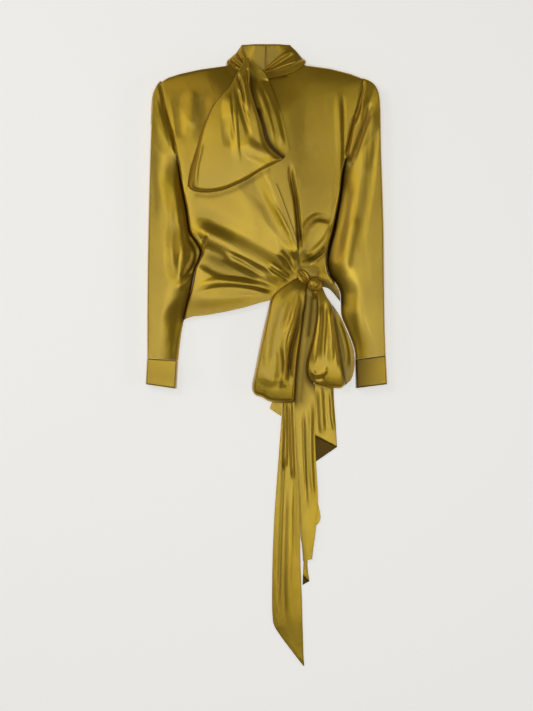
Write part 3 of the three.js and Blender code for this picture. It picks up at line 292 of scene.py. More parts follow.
def shell_height(xy, folds=MAIN_FOLDS):
    x, y = xy[..., 0], xy[..., 1]
    out = np.min([line.nearest(xy)[0] for line in OUTLINES + SHOULDERS], axis=0)
    right, left = [line.nearest(xy) for line in SIDES]
    side = np.minimum(right[0], left[0])
    on_sleeve = ((right[1] < 0) & (x < 0)) | ((left[1] > 0) & (x > 0))
    to_left = smooth((x - CROWN_LEFT_FROM["x"]) / CROWN_LEFT_FROM["span"])
    crown = mix(profile(CROWN_BODY, y), profile(CROWN_LEFT, y), to_left)
    crown = np.where(on_sleeve, profile(CROWN_SLEEVE, y), crown)
    from_hem = HEM_LINE.nearest(xy)[0]
    from_neck = np.hypot(x - NECK_CENTRE[0], y - NECK_CENTRE[1])
    on_arm = np.maximum(smooth((np.abs(x) - 195) / 20), smooth((500 - y) / 40))
    edges = mix(HEM_SHARE, 1, smooth(from_hem / HEM_DROP_SPAN)) * mix(NECK_SHARE, 1, smooth(from_neck / NECK_SPAN))
    loose = np.maximum(2, crown + fold_height(folds, xy))
    centre, reach = KNOT_PRESS["centre"], KNOT_PRESS["reach"]
    pressed = smooth(1.25 - np.hypot(x - centre[0], y - centre[1]) / reach)
    body = mix(loose, KNOT_PRESS["height"], pressed)
    slack = 1 - np.clip(side / SLEEVE_SIDE_ROLL, 0, 1)
    falling = 0.35 * roll(side / SIDE_ROLL) + 0.65 * (1 - slack * slack)
    at_side = np.where(on_sleeve, falling, roll(side / SIDE_ROLL))
    at_side = mix(1, at_side, smooth((UNDERARM["y"] - y) / UNDERARM["span"]))
    rounded = roll(out / mix(SHOULDER_ROLL, SLEEVE_ROLL, on_arm)) * at_side
    return EDGE_TOP + body * rounded * edges


WRAP_LIFT = 3.6
WRAP_LIFT_SPAN = 34


def right_front_height(xy, folds=MAIN_FOLDS):
    from_edge = WRAP_LINE.nearest(xy)[0]
    near_knot = smooth((xy[..., 1] - 188) / 26)
    return shell_height(xy, folds) + WRAP_LIFT * smooth(1 - (from_edge - 8) / WRAP_LIFT_SPAN) * near_knot


# Shade painted into the colour of a piece along lines: where another layer lies close over it and keeps the light from
# it, in crevices, and over broad zones the light leaves darker: depth, reach and path
# The depth at which the painted shade is full
PAINTED_SHADE_FULL_DEPTH = 7
PAINTED_SHADE_LINES = {
    "sleeve_right": [(7, 15, SIDE_RIGHT), (3, 5, ARMHOLE_RIGHT)],
    "sleeve_left": [(8, 26, SIDE_LEFT), (3, 5, ARMHOLE_LEFT)],
    "front_right": [
        (3.5, 12, [(25, 137), (47, 157), (60, 185)]), (2.6, 70, [(-165, 71), (-83, 87), (9, 111)]),
        (3.4, 32, [(-139, 204), (-112, 194), (-85, 184)]),
        (4, 9, [(45, 404), (30, 384), (10, 370), (-13, 357), (-39, 341), (-63, 329), (-105, 316), (-139, 318)]),
        (3, 5, ARMHOLE_RIGHT),
    ],
    "front_left": [
        (7, 6, WRAP_EDGE[:5]), (3, 5, ARMHOLE_LEFT), (5, 9, [(-5, 549), (17, 553), (37, 555)]),
        (4, 26, [(73, 205), (97, 188), (121, 203)]), (5, 10, [(69, 158), (101, 155)]),
        (5, 7, [(69, 176), (101, 175), (102, 158)]), (6, 6, [(73, 187), (86, 192), (100, 204), (113, 214)]),
        (1.9, 120, [(60, 470), (90, 350)]), (2.5, 12, [(112, 150), (136, 138)]),
        (4, 6, [(46, 409), (37, 449), (28, 483), (7, 541)]),
    ],
    "back": [(6, 14, [(104, 145), (125, 137), (147, 108)])],
    "tie_middle": [
        (7, 60, [(84, 140), (98, 138)]), (7, 26, [(91, 115), (88, 80), (84, 40)]),
        (5.5, 26, [(84, 40), (78, 0), (72, -50), (68, -90)]), (7, 30, [(77, 118), (72, 78), (66, 40), (61, -14), (58, -60), (57, -91)]),
        (7, 30, [(103, 110), (101, 69), (96, 36), (88, 9), (82, -14), (83, -45), (97, -58)]),
    ],
    "tie_long": [(3, 20, [(17, -95), (12, -200), (0, -320), (-20, -440), (-30, -520)]), (5.5, 12, [(31, -90), (62, -90)]), (2.6, 120, [(15, -480), (25, -560), (47, -618)]), (5, 4, [(66, -140), (67, -335), (70, -470), (73, -560)])],
    "tie_turned": [(6, 12, [(94, -55), (134, -63)])],
    "tie_under": [(4, 12, [(11, -88), (33, -90)])],
    "cuff_right": [(3.1, 120, [(-236, -35), (-180, -45)])], "cuff_left": [(6.6, 115, [(178, 0), (178, -70)])],
    "waist_tab": [(4.6, 60, [(70, 165), (100, 165)])], "waist_knot": [(2, 40, [(96, 141), (96, 130)])],
    "waist_loop_right": [(3, 24, [(-22, -60), (0, -76), (44, -86)]), (5, 14, [(67, 158), (81, 149)]), (5, 4, [(77, 100), (67, 24), (58, -66), (56, -91)])],
    "waist_loop_left": [(6, 14, [(99, 138), (112, 138)])],
}


# Painted shade from a list of lines: darkest on each line, fading out over its reach
def painted_shade_depth(lines, xy):
    depth = np.zeros(xy.shape[:-1])
    for most, reach, path in lines:
        near = np.clip(1 - route_of(path).nearest(xy)[0] / reach, 0, 1)
        depth = np.maximum(depth, most * near ** 1.3)
    return depth


# Meshes

def grid_normals(grid, wraps=False):
    if wraps:
        wide = np.concatenate([grid[:, -1:], grid, grid[:, :1]], axis=1)
        across = np.gradient(wide, axis=1)[:, 1:-1]
    else:
        across = np.gradient(grid, axis=1)
    normal = np.cross(np.gradient(grid, axis=0), across)
    return normal / np.maximum(np.linalg.norm(normal, axis=-1, keepdims=True), 1e-9)


def run_lengths(grid, axis):
    steps = np.linalg.norm(np.diff(grid, axis=axis), axis=-1)
    start = np.zeros_like(np.take(steps, [0], axis=axis))
    return np.cumsum(np.concatenate([start, steps], axis=axis), axis=axis)


def sewn_piece(name, outer, inner, node, wraps=False, materials=("satin_face", "satin_back"), depth=None):
    """A closed shell of cloth between two grids of points in millimetres."""
    rows, columns = outer.shape[:2]
    count = rows * columns
    points = np.concatenate([outer.reshape(-1, 3), inner.reshape(-1, 3)]) * MM
    index = np.arange(count).reshape(rows, columns)
    ring = np.hstack([index, index[:, :1]]) if wraps else index
    corners = [ring[:-1, :-1], ring[1:, :-1], ring[1:, 1:], ring[:-1, 1:]]
    out_faces = np.stack([c.ravel() for c in corners], -1)
    if wraps:
        rims = [ring[0], ring[-1][::-1]]
    else:
        rims = [np.concatenate([index[0], index[1:, -1], index[-1, -2::-1], index[-2::-1, 0]])]
    rim_faces = np.concatenate([np.stack([r[:-1], r[1:], r[1:] + count, r[:-1] + count], -1) for r in rims])
    faces = np.concatenate([out_faces, out_faces[:, ::-1] + count, rim_faces])
    a, b, c, d = [points[faces[:, n]] for n in range(4)]
    volume = np.sum(a * np.cross(b, c)) + np.sum(a * np.cross(c, d))
    if volume < 0:
        faces = faces[:, ::-1]
    mesh = bpy.data.meshes.new(name)
    mesh.from_pydata(points.tolist(), [], faces.tolist())
    mesh.polygons.foreach_set("material_index", np.repeat([0, 1, 0], [len(out_faces), len(out_faces), len(rim_faces)]))
    across, along = run_lengths(outer, 1), run_lengths(outer, 0)
    uv = np.stack([across.ravel(), along.ravel()], -1) * MM
    uv = np.concatenate([uv, uv])
    loops = np.zeros(len(mesh.loops), int)
    mesh.loops.foreach_get("vertex_index", loops)
    mesh.uv_layers.new(name="Cloth").data.foreach_set("uv", uv[loops].ravel())
    # Shade painted into the colour: the given depth and this node's painted shade lines, kept in the Depth attribute
    # that darkens the satin colour
    painted_from_lines = painted_shade_depth(PAINTED_SHADE_LINES.get(node, []), outer[..., :2])
    shade = np.clip((painted_from_lines if depth is None else np.maximum(depth, painted_from_lines)) / PAINTED_SHADE_FULL_DEPTH, 0, 1).ravel() ** 1.3
    mesh.attributes.new("Depth", "FLOAT", "POINT").data.foreach_set("value", np.concatenate([shade, shade]))
    mesh.shade_smooth()
    mesh.set_sharp_from_angle(angle=math.radians(55))
    piece = bpy.data.objects.new(name, mesh)
    bpy.context.scene.collection.objects.link(piece)
    for material in materials:
        mesh.materials.append(bpy.data.materials[material])
    mesh.validate()
    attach(piece, "root")
    if node:
        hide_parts(node)
    return piece


def thin(grid, thickness, wraps=False):
    """The other face of a sheet, moved down through the cloth."""
    normal = grid_normals(grid, wraps)
    facing = np.sign(np.sum(normal[..., 2])) or 1
    return grid - normal * facing * thickness


def shares(count, ease=0.0):
    t = np.linspace(0, 1, count + 1)
    return mix(t, 0.5 - 0.5 * np.cos(np.pi * t), ease)


def lifted(xy, height):
    return np.concatenate([xy, height[..., None]], axis=-1)


def inwards(points, by):
    p = np.array(points, float)
    return p - np.stack([np.sign(p[:, 0]) * by, np.zeros(len(p))], -1)


# The seam line between a sleeve and the body, from the shoulder tip to the hem corner
SEAM_STEPS = {"head": 64, "side": 150}


def seam_line(armhole, side_route, corner):
    head = Route(armhole)
    last = float(side_route.nearest(np.array([corner], float))[2][0])
    down = side_route.at(np.linspace(0, last, SEAM_STEPS["side"] + 1)[1:])
    return np.vstack([head.at(shares(SEAM_STEPS["head"])), down])


SEAM_RIGHT = seam_line(ARMHOLE_RIGHT, SIDES[0], SIDE_RIGHT[-1])
SEAM_LEFT = seam_line(ARMHOLE_LEFT, SIDES[1], SIDE_LEFT[-1])
BACK_NECK = {"left": 78, "right": -80, "y": 579, "drop": 22}
BACK_INSET = -1


def back_neck_at(x):
    share = np.clip((x - BACK_NECK["right"]) / (BACK_NECK["left"] - BACK_NECK["right"]), 0, 1)
    return BACK_NECK["y"] - BACK_NECK["drop"] * np.sin(np.pi * share)


def make_back(cloth):
    right = Route(np.vstack([
        SHOULDER_RIGHT[:-1], [(-206, 547.5)], inwards(ARMHOLE_RIGHT[1:], BACK_INSET), inwards(SIDE_RIGHT[1:], BACK_INSET),
    ]))
    left = Route(np.vstack([
        SHOULDER_LEFT[:-1], [(188, 553)], inwards(ARMHOLE_LEFT[1:], BACK_INSET), inwards(SIDE_LEFT[1:], BACK_INSET),
    ]))
    hem = Route(BACK_HEM)
    u, v = np.meshgrid(shares(90), shares(80), indexing="ij")
    straight = mix(right.at(u), left.at(u), v[..., None])
    last = mix(right.at(1.0), left.at(1.0), v[..., None])
    pull = smooth((u - 0.7) / 0.3)
    drop = BACK_NECK["drop"] * np.sin(np.pi * v) * smooth(1 - u / 0.4)
    xy = straight + (hem.at(v) - last) * pull[..., None] - np.stack([np.zeros_like(drop), drop], -1)
    top = lifted(xy, np.full(u.shape, PANEL_CLOTH))
    low = lifted(xy, np.zeros(u.shape))
    piece = sewn_piece("back_cloth", top, low, "back", materials=("satin_back", "satin_face"))
    return piece


FRONT_STEPS = {"out": 150, "around": 240}


def make_right_front(cloth):
    outer = Route(np.vstack([
        inwards(SEAM_RIGHT[::-1][:-1], SEAM_GAP / 2), SHOULDER_RIGHT[::-1], NECKLINE_RIGHT[1:],
    ]), 1)
    hem, edge = Route(HEM[::-1]), Route(WRAP_EDGE)
    knot_low, knot_high = np.array([63, 141.0]), np.array([63, 193.0])
    first, last = outer.samples[0], outer.samples[-1]
    u, share = np.meshgrid(shares(FRONT_STEPS["out"]), shares(FRONT_STEPS["around"]), indexing="ij")
    reach = (0.25 * u + 0.75 * u * u * (1.6 - 0.6 * u))[..., None]
    s = share[..., None]
    ray = mix(mix(knot_low, knot_high, s), outer.at(share), reach)
    near_hem, near_edge = (1 - s) ** 6, s ** 5
    hem_shift = hem.at(reach[..., 0]) - mix(knot_low, first, reach)
    edge_shift = edge.at(reach[..., 0]) - mix(knot_high, last, reach)
    xy = ray + hem_shift * near_hem + edge_shift * near_edge
    top = lifted(xy, right_front_height(xy))
    # Shade is painted into the colour in the valleys of the front folds
    piece = sewn_piece(
        "front_right_cloth", top, thin(top, cloth), "front_right", depth=fold_relief(FRONT_FOLDS, xy)[1],
    )
    return piece


def make_left_front(cloth):
    inner_seam = inwards(SEAM_LEFT[1:], SEAM_GAP / 2)
    inner_seam = inner_seam[inner_seam[:, 1] > 146]
    left = Route(np.vstack([SHOULDER_LEFT, inner_seam, [LEFT_FRONT_HEM[4]]]), 1)
    under = Route(UNDER_EDGE[::-1] + [(67, 177)])
    neck, bottom = Route(NECKLINE_LEFT[::-1]), Route(LEFT_FRONT_HEM)
    share, v = np.meshgrid(shares(210), shares(80), indexing="ij")
    w = v[..., None]
    straight = mix(under.at(share), left.at(share), w)
    top_row = mix(under.at(0.0), left.samples[0], w)
    last_row = mix(under.at(1.0), left.samples[-1], w)
    at_neck = smooth(1 - share / 0.22)[..., None]
    at_hem = smooth((share - 0.86) / 0.14)[..., None]
    xy = straight + (neck.at(v) - top_row) * at_neck + (bottom.at(v) - last_row) * at_hem
    top = lifted(xy, shell_height(xy))
    # Shade is painted into the colour in the valleys of the front folds
    piece = sewn_piece(
        "front_left_cloth", top, thin(top, cloth), "front_left", depth=fold_relief(FRONT_FOLDS, xy)[1],
    )
    return piece


# Sleeves: rings that start on the armhole, swing round the underarm and run to the cuff
SLEEVE_STEPS = {"along": 190, "over": 54, "under": 12}
FOOT_INSET = 3


def ring_shell(name, line_at, height_at, thickness, node, along):
    """A tube of cloth over a flat foot: line_at gives plan points from the outer edge to the inner one."""
    over, under = SLEEVE_STEPS["over"], SLEEVE_STEPS["under"]
    u = np.linspace(0, 1, along + 1)[:, None]
    top_xy = line_at(u, shares(over, 1.0)[None, :])
    top = lifted(top_xy, np.maximum(EDGE_TOP, height_at(top_xy)))
    start, end = line_at(u, np.zeros((1, 1))), line_at(u, np.ones((1, 1)))
    span = np.linalg.norm(end - start, axis=-1)
    foot = FOOT_INSET / span
    back = np.linspace(0, 1, under + 1)[None, :]
    low_xy = line_at(u, 1 - foot - (1 - 2 * foot) * back)
    outer = np.concatenate([top, lifted(low_xy, np.zeros(low_xy.shape[:-1]))], axis=1)
    normal = grid_normals(outer, wraps=True)
    facing = np.sign(np.sum(normal[:, : over + 1, 2])) or 1
    inner = outer - normal * facing * thickness
    inner[:, over + 1:, 2] = thickness
    inner[:, : over + 1, 2] = np.maximum(inner[:, : over + 1, 2], thickness + 0.2)
    # Shade is painted into the colour in the valleys of the sleeve folds
    depth = fold_relief(SLEEVE_FOLDS, outer[..., :2])[1]
    return sewn_piece(name, outer, inner, node, wraps=True, depth=depth)


def make_sleeve(name, node, outline, armhole, side_route, sign, thickness):
    head = Route(armhole)
    start_share = float(outline.nearest(np.array([armhole[0]], float))[2][0])
    shift = np.array([sign * SEAM_GAP / 2, 0])

    def line_at(u, v):
        u, v = np.broadcast_arrays(u ** 1.1, v)
        outer_point = outline.at(mix(start_share, 1, u))
        inner_point = side_route.at(np.maximum(0, (u - 0.1) / 0.9) ** 1.15) + shift
        keep = smooth(1 - u / 0.35)[..., None]
        straight = mix(outer_point, inner_point, v[..., None])
        chord = mix(head.at(0.0), head.at(1.0) + shift, v[..., None])
        return straight + (head.at(v) + shift - chord) * keep

    return ring_shell(name, line_at, shell_height, thickness, node, SLEEVE_STEPS["along"])


CUFF_CROWN = 16
CUFF_DEPTH = 57
CUFFS = {
    "right": {"outer": [(-238.3, -6), (-241, -57)], "inner": [(-176.3, -9.9), (-179.5, -66)], "rise": 4},
    "left": {"outer": [(238.3, 0.2), (241, -57)], "inner": [(177.2, -8), (178, -65)], "rise": 5},
}


def cuff_height(side):
    cuff = CUFFS[side]
    outer, inner, top, low = [
        Route(ends, 1) for ends in (cuff["outer"], cuff["inner"], [cuff["outer"][0], cuff["inner"][0]],
                                    [cuff["outer"][1], cuff["inner"][1]])
    ]

    def height_at(xy):
        from_top = top.nearest(xy)[0]
        crown = roll(outer.nearest(xy)[0] / SLEEVE_ROLL) * roll(inner.nearest(xy)[0] / SIDE_ROLL)
        ends = mix(0.95, 1, roll(from_top / 3)) * mix(0.9, 1, roll(low.nearest(xy)[0] / 2.5))
        return EDGE_TOP + (CUFF_CROWN + cuff["rise"] * (from_top / CUFF_DEPTH - 0.5)) * crown * ends

    return height_at


def make_cuff(side, thickness):
    outer, inner = [np.array(CUFFS[side][edge], float) for edge in ("outer", "inner")]

    def line_at(u, v):
        u, v = np.broadcast_arrays(u, v)
        outer_point = mix(outer[0], outer[1], u[..., None])
        inner_point = mix(inner[0], inner[1], u[..., None])
        return mix(outer_point, inner_point, v[..., None])

    return ring_shell(f"cuff_{side}_cloth", line_at, cuff_height(side), thickness, f"cuff_{side}", 40)


COLLAR_THICK = 2.4
COLLAR_STAND = 7
COLLARS = {
    "right": {"upper": [(-49, 621), (-1.05, 621)], "lower_out": -79.5},
    "left": {"upper": [(47, 621), (-0.95, 621)], "lower_out": 77.5},
}


def make_collar_half(side):
    corners = COLLARS[side]
    (x0, y0), (x1, _) = corners["upper"]
    u, v = np.meshgrid(shares(24), shares(40), indexing="ij")
    lower_x = mix(corners["lower_out"], x1, v)
    x = mix(mix(x0, x1, v), lower_x, u)
    y = mix(y0, back_neck_at(lower_x) + SEAM_GAP, u)
    xy = np.stack([x, y], -1)
    edge = roll(u * 55 / 3) * roll((1 - v) * 60 / 2)
    stand = COLLAR_STAND * (1 - u) * smooth(v / 0.6)
    top = lifted(xy, mix(COLLAR_THICK * 0.55, COLLAR_THICK, edge) + stand)
    low = lifted(xy, stand)
    piece = sewn_piece(f"collar_{side}_cloth", top, low, f"collar_{side}", materials=("satin_back", "satin_face"))
    return piece


# Scarf: the pleated band of the collar, from each side of the neck to the bow
SCARVES = {
    "right": {
        "outer": [(-50, 616), (-60, 605), (-70, 596), (-78, 585), (-80, 575), (-76, 563), (-67, 555)],
        "inner": [(-38, 585), (-43, 578), (-47, 570), (-52, 560), (-56, 552)],
        "edge": 4.4, "crown": (9, 14), "pleats": 4, "pleat": 2.2, "span": 0.7, "lead": 0,
    },
    "left": {
        "outer": [(47, 618), (58, 608), (67, 597), (78, 583), (70, 573), (58, 565), (37, 557)],
        "inner": [(-6, 569), (-4, 564), (-1, 559), (1, 554), (3, 550)],
        "edge": 4.4, "crown": (8, 14), "pleats": 3.5, "pleat": 2, "span": 0.5, "lead": 0.08,
    },
}
FRONTS = (
    HEM + LEFT_FRONT_HEM + SIDE_LEFT[::-1][4:] + ARMHOLE_LEFT[::-1] + NECKLINE_LEFT + NECKLINE_RIGHT[::-1]
    + ARMHOLE_RIGHT + SIDE_RIGHT
)
FRONTS_EDGE = Route(FRONTS + FRONTS[:1], 1)


def inside_fronts(xy):
    x, y = xy[..., 0], xy[..., 1]
    inside = np.zeros(x.shape, bool)
    for (x1, y1), (x2, y2) in zip(FRONTS, FRONTS[1:] + FRONTS[:1]):
        if y1 == y2:
            continue
        crosses = ((y1 > y) != (y2 > y)) & (x < (x2 - x1) * (y - y1) / (y2 - y1) + x1)
        inside ^= crosses
    return inside


def fronts_top(xy):
    """The top of the fronts, falling to the plane past their edges."""
    out = np.where(inside_fronts(xy), 0, FRONTS_EDGE.nearest(xy)[0])
    height = right_front_height(xy, []) * smooth(1 - (out - 6) / 16)
    return np.where(out > 22, 0, height)


def make_scarf(side, thickness):
    scarf = SCARVES[side]
    outer, inner = Route(scarf["outer"]), Route(scarf["inner"])
    u, v = np.meshgrid(shares(60), shares(90), indexing="ij")
    xy = mix(outer.at(v), inner.at(v), u[..., None])
    crown = mix(scarf["crown"][0], scarf["crown"][1], v)
    wave = np.sin(2 * np.pi * scarf["pleats"] * v)
    pleat = scarf["pleat"] * np.sign(wave) * np.abs(wave) ** 0.8 * smooth(u / 0.25)
    z = scarf["edge"] + (crown + pleat) * roll((u + scarf["lead"]) / scarf["span"])
    top = lifted(xy, np.maximum(z, fronts_top(xy) + PANEL_CLOTH + PANEL_GAP))
    piece = sewn_piece(f"scarf_{side}_cloth", top, thin(top, thickness), f"scarf_{side}")
    return piece


# Loops: a band that leaves its knot, turns under at the far end and comes back beneath itself.
# A row is a section, from the knot to the turn: the two edges of its upper layer, of its lower one,
# and how far the layers stand apart
TURN_SHARE = 0.1
SCARF_TOP = 21
TIE_RISE = {"y": 96, "span": 34, "height": 9}


def waist_top(xy):
    rise = TIE_RISE["height"] * smooth((xy[..., 1] - TIE_RISE["y"]) / TIE_RISE["span"])
    return np.maximum(fronts_top(xy), rise)


def neck_top(xy):
    return np.maximum(fronts_top(xy), SCARF_TOP * smooth((xy[..., 1] - 530) / 18))


def make_loop(name, node, loop, thickness):
    routes = [[Route([row[layer][side] for row in loop["rows"]]) for side in (0, 1)] for layer in (0, 1)]
    ends = Route(loop["turn"])
    opens = [(n / (len(loop["rows"]) - 1), row[2]) for n, row in enumerate(loop["rows"])]
    turn_from, bend_from = loop["turn_from"], loop["bend_from"]

    def point_on(layer, share, v):
        left, right = routes[layer]
        w = v[..., None]
        straight = mix(left.at(share), right.at(share), w)
        last = mix(left.at(1.0), right.at(1.0), w)
        bend = smooth((share - bend_from) / (1 - bend_from))
        return straight + (ends.at(v) - last) * bend[..., None]

    def low_height(xy):
        flat = loop["ground"](xy) + PANEL_CLOTH / 2 + LAYER_GAP + loop["lift"]
        return flat + np.maximum(0, fold_height(loop["under"], xy))

    def high_height(xy, share, v):
        low = low_height(xy)
        edges = mix(loop["lips"][0], loop["lips"][1], v)
        full = 1 - (1 - np.clip(np.minimum(v, 1 - v) / loop["round"], 0, 1)) ** 2.4
        dome = edges + (1 - edges) * full
        folds = fold_height(loop["folds"], xy) * smooth((share - 0.02) / 0.1)
        level = profile(loop["level"], share) + profile(opens, share) * dome + folds
        return np.maximum(low + PANEL_CLOTH + LAYER_GAP, level)

    u, v = np.meshgrid(shares(loop["steps"][0]), shares(loop["steps"][1]), indexing="ij")
    arm = (0.5 - np.abs(u - 0.5)) / (0.5 - TURN_SHARE / 2)
    straight_share = turn_from * np.clip(arm, 0, 1)
    angle = np.pi * np.clip(0.5 - u, -TURN_SHARE / 2, TURN_SHARE / 2) / TURN_SHARE
    turn_share = mix(turn_from, 1, np.cos(angle))
    turning = np.abs(u - 0.5) < TURN_SHARE / 2
    share = np.where(turning, turn_share, straight_share)
    blend = np.where(turning, 0.5 - 0.5 * np.sin(angle), np.where(u < 0.5, 0.0, 1.0))
    xy = mix(point_on(0, share, v), point_on(1, share, v), blend[..., None])
    low, high = low_height(xy), high_height(xy, share, v)
    z = mix(high, low, np.where(turning, 0.5 - 0.5 * np.sin(angle), blend))
    middle = lifted(xy, z)
    normal = grid_normals(middle)
    grids = [middle + normal * thickness / 2, middle - normal * thickness / 2]
    front = int(normal[len(normal) // 4, normal.shape[1] // 2, 2] < 0)
    # Shade painted into the colour: along the mouth on the lower layer, and in the fold valleys on the upper one
    inside = painted_shade_depth(loop["mouth_shade"], xy)
    depth = np.where(blend < 0.5, fold_relief(loop["folds"], xy)[1], inside)
    return sewn_piece(name, grids[front], grids[1 - front], node, depth=depth)


BOW_LOOP = {
    "rows": [
        ([(-43, 583), (-35, 586)], [(-42, 576), (-29, 586)], 15.5),
        ([(-51, 567), (-33, 567)], [(-46, 562), (-14, 571)], 16.5),
        ([(-61, 551), (-33, 553)], [(-52, 545), (-3, 560)], 17.5),
        ([(-73, 529), (-33, 529)], [(-62, 522), (7, 539)], 18.5),
        ([(-89, 513), (-27, 506)], [(-76, 495), (18, 511)], 19.5),
        ([(-107, 491), (-19, 481)], [(-93, 462), (28, 481)], 20.5),
        ([(-125, 453), (-11, 455)], [(-112, 427), (37, 449)], 20.5),
        ([(-137, 413), (-4, 425)], [(-129, 393), (43, 423)], 20),
        ([(-151, 367), (10, 404)], [(-145, 362), (45, 404)], 18.5),
        ([(-156, 336), (30, 388)], [(-154, 338), (34, 388)], 16),
    ],
    "turn": [
        (-156, 336), (-149, 329), (-139, 325), (-123, 323), (-105, 324), (-83, 329), (-63, 337), (-39, 349),
        (-13, 365), (11, 377), (32, 388),
    ],
    "bend_from": 0.55, "turn_from": 0.97, "lips": (0.3, 0.75), "round": 0.07, "level": [(0, 28), (0.3, 30.5), (0.6, 28.5), (1, 24.5)],
    "ground": neck_top, "lift": 0.6,
    "folds": [
        (-3, 3, 5, [(-57, 555, 0.8), (-50, 533), (-45, 511), (-44, 491, 0.3)]),
        (-3, 3, 4, [(-38, 565), (-37, 549), (-37, 533, 0.5)]),
        (1.8, 7, 9, [(-45, 551), (-43, 529), (-39, 501), (-37, 479, 0.5)]),
        (1.5, 4, 20, [(-73, 519), (-71, 491), (-68, 457), (-64, 423, 0.7)]),
        (-1.8, 6, 10, [(-58, 531), (-52, 499), (-40, 459, 0.8), (-32, 427, 0.3)]),
        (-1.3, 13, 18, [(-76, 475, 0.6), (-73, 439), (-69, 409, 0.6)]),
        (1.4, 4, 16, [(-62, 499, 0.6), (-59, 457), (-56, 411), (-53, 379, 0.6)]),
        (1.7, 5, 12, [(-124, 417, 0.7), (-131, 397), (-137, 367), (-139, 329)]),
        (-2.1, 6, 8, [(-133, 409), (-141, 379), (-149, 349), (-153, 335)]),
        (2.1, 20, 23, [(-47, 425, 0.5), (-29, 407), (-5, 397), (17, 393, 0.6)]),
        (1.4, 8, 9, [(-21, 491, 0.7), (-9, 455), (-2, 427), (8, 405)]),
    ],
    "under": [
        (2.6, 9, 10, [(-9, 545, 0.5), (7, 511), (21, 461), (33, 409)]),
        (1.8, 8, 9, [(-21, 541, 0.6), (-3, 499), (8, 459), (18, 419, 0.6)]),
    ],
    # Shade painted into the colour inside the mouth and along the head: depth, reach and path
    "mouth_shade": [
        (13, 14, [(-19, 483), (-9, 455), (-1, 427), (12, 406), (32, 390)]), (3.5, 18, [(-33, 586), (-26, 570), (-24, 552)]),
        (5, 12, [(-31, 553), (-27, 513), (-20, 485)]),
    ],
    "steps": (170, 90),
}
WAIST_LOOP_RIGHT = {
    "rows": [
        ([(67, 158), (81, 149)], [(69, 140), (80, 138)], 2.4),
        ([(45, 144), (78, 121)], [(58, 120), (72, 116)], 9),
        ([(21, 127), (77, 100)], [(34, 100), (70, 96)], 15),
        ([(9, 111), (74, 82)], [(16, 86), (67, 78)], 19),
        ([(1, 81), (71, 56)], [(7, 62), (63, 52)], 21.5),
        ([(-7, 47), (67, 24)], [(-1, 32), (59, 22)], 23),
        ([(-15, 9), (63, -8)], [(-9, 2), (55, -8)], 23.5),
        ([(-22, -27), (60, -38)], [(-17, -26), (53, -38)], 23),
        ([(-28, -56), (58, -66)], [(-24, -52), (52, -66)], 21.5),
        ([(-28, -71), (56, -91)], [(-26, -71), (53, -89)], 18),
    ],
    "turn": [(-28, -71), (-21, -79), (-9, -83), (3, -90), (17, -93), (37, -94), (51, -93), (56, -90)],
    "bend_from": 0.6, "turn_from": 0.97, "lips": (0.3, 0.3), "round": 0.09, "level": [(0, 15), (0.1, 17.5), (0.3, 12.8), (0.6, 6.5), (1, 2)],
    "ground": waist_top, "lift": 0,
    "folds": [
        (-6.5, 11, 9, [(71, 131, 0.4), (69, 99, 0.8), (64, 69), (56, 39), (49, 9), (45, -31), (43, -61, 0.6)]),
        (-2.1, 9, 13, [(27, 19, 0.5), (29, -21), (21, -71, 0.8)]),
        (-1.6, 8, 12, [(61, 131, 0.6), (53, 109), (44, 79), (36, 49, 0.5)]),
        (1.7, 11, 12, [(41, 133, 0.7), (25, 99), (13, 59), (5, 19), (-3, -31, 0.5)]),
        (-1.1, 9, 13, [(29, 109), (19, 69), (11, 29), (7, -11, 0.5)]),
        (1.4, 6, 10, [(57, 109), (52, 79), (39, 39), (35, 9), (35, -31, 0.5)]),
        (1.7, 16, 18, [(-15, -33, 0.6), (5, -45), (35, -49), (53, -41, 0.6)]),
    ],
    "under": [], "mouth_shade": [],
    "steps": (170, 80),
}
WAIST_LOOP_LEFT = {
    "rows": [
        ([(99, 136), (110, 137)], [(100, 131), (111, 131)], 2.2),
        ([(101, 114), (119, 117)], [(102, 108), (120, 114)], 8),
        ([(102, 98), (128, 103)], [(104, 94), (134, 98)], 13),
        ([(100, 77), (134, 84)], [(102, 74), (148.5, 76)], 17),
        ([(97, 57), (137, 60)], [(100, 55), (161, 48)], 20),
        ([(92, 33), (141, 36)], [(96, 33), (171.5, 22)], 22),
        ([(87, 11), (145, 10)], [(92, 12), (175.6, 3)], 23.5),
        ([(81, -11), (149, -17)], [(88, -8), (176.6, -20)], 23.5),
        ([(80, -30), (153, -40)], [(86, -28), (171, -46)], 22),
        ([(85, -45), (155, -59)], [(88, -43), (157, -58)], 18),
    ],
    "turn": [(85, -45), (93, -53), (103, -57), (117, -61), (131, -64), (147, -65), (156, -59)],
    "bend_from": 0.6, "turn_from": 0.97, "lips": (0.4, 0.55), "round": 0.09, "level": [(0, 13), (0.3, 9.5), (0.6, 5), (1, 2)],
    "ground": waist_top, "lift": 0,
    "folds": [
        (-2.4, 7, 10, [(116, 109, 0.5), (115, 69), (112, 19), (109, -15, 0.5)]),
        (1.8, 7, 10, [(124, 101), (128, 59), (129, 9), (127, -21, 0.4)]),
        (-2.4, 6, 8, [(133, 89), (136, 49), (143, 19), (147, -29, 0.6)]),
        (2, 6, 9, [(108, 97), (103, 49), (97, 9), (93, -19)]),
        (1.7, 5, 8, [(89, -29), (97, -37), (111, -35), (121, -23)]),
        (-2.1, 5, 8, [(96, -45), (105, -45), (112, -41)]),
    ],
    "under": [
        (2, 8, 8, [(134, 79, 0.5), (149, 49), (159, 9), (161, -29, 0.7)]),
    ],
    # Shade painted into the colour inside the mouth: depth, reach and path
    "mouth_shade": [(7, 10, [(130, 96), (137, 57), (143, 20), (151, -30), (155, -59)])],
    "steps": (170, 80),
}


# Ribbons: the hanging ends of the ties

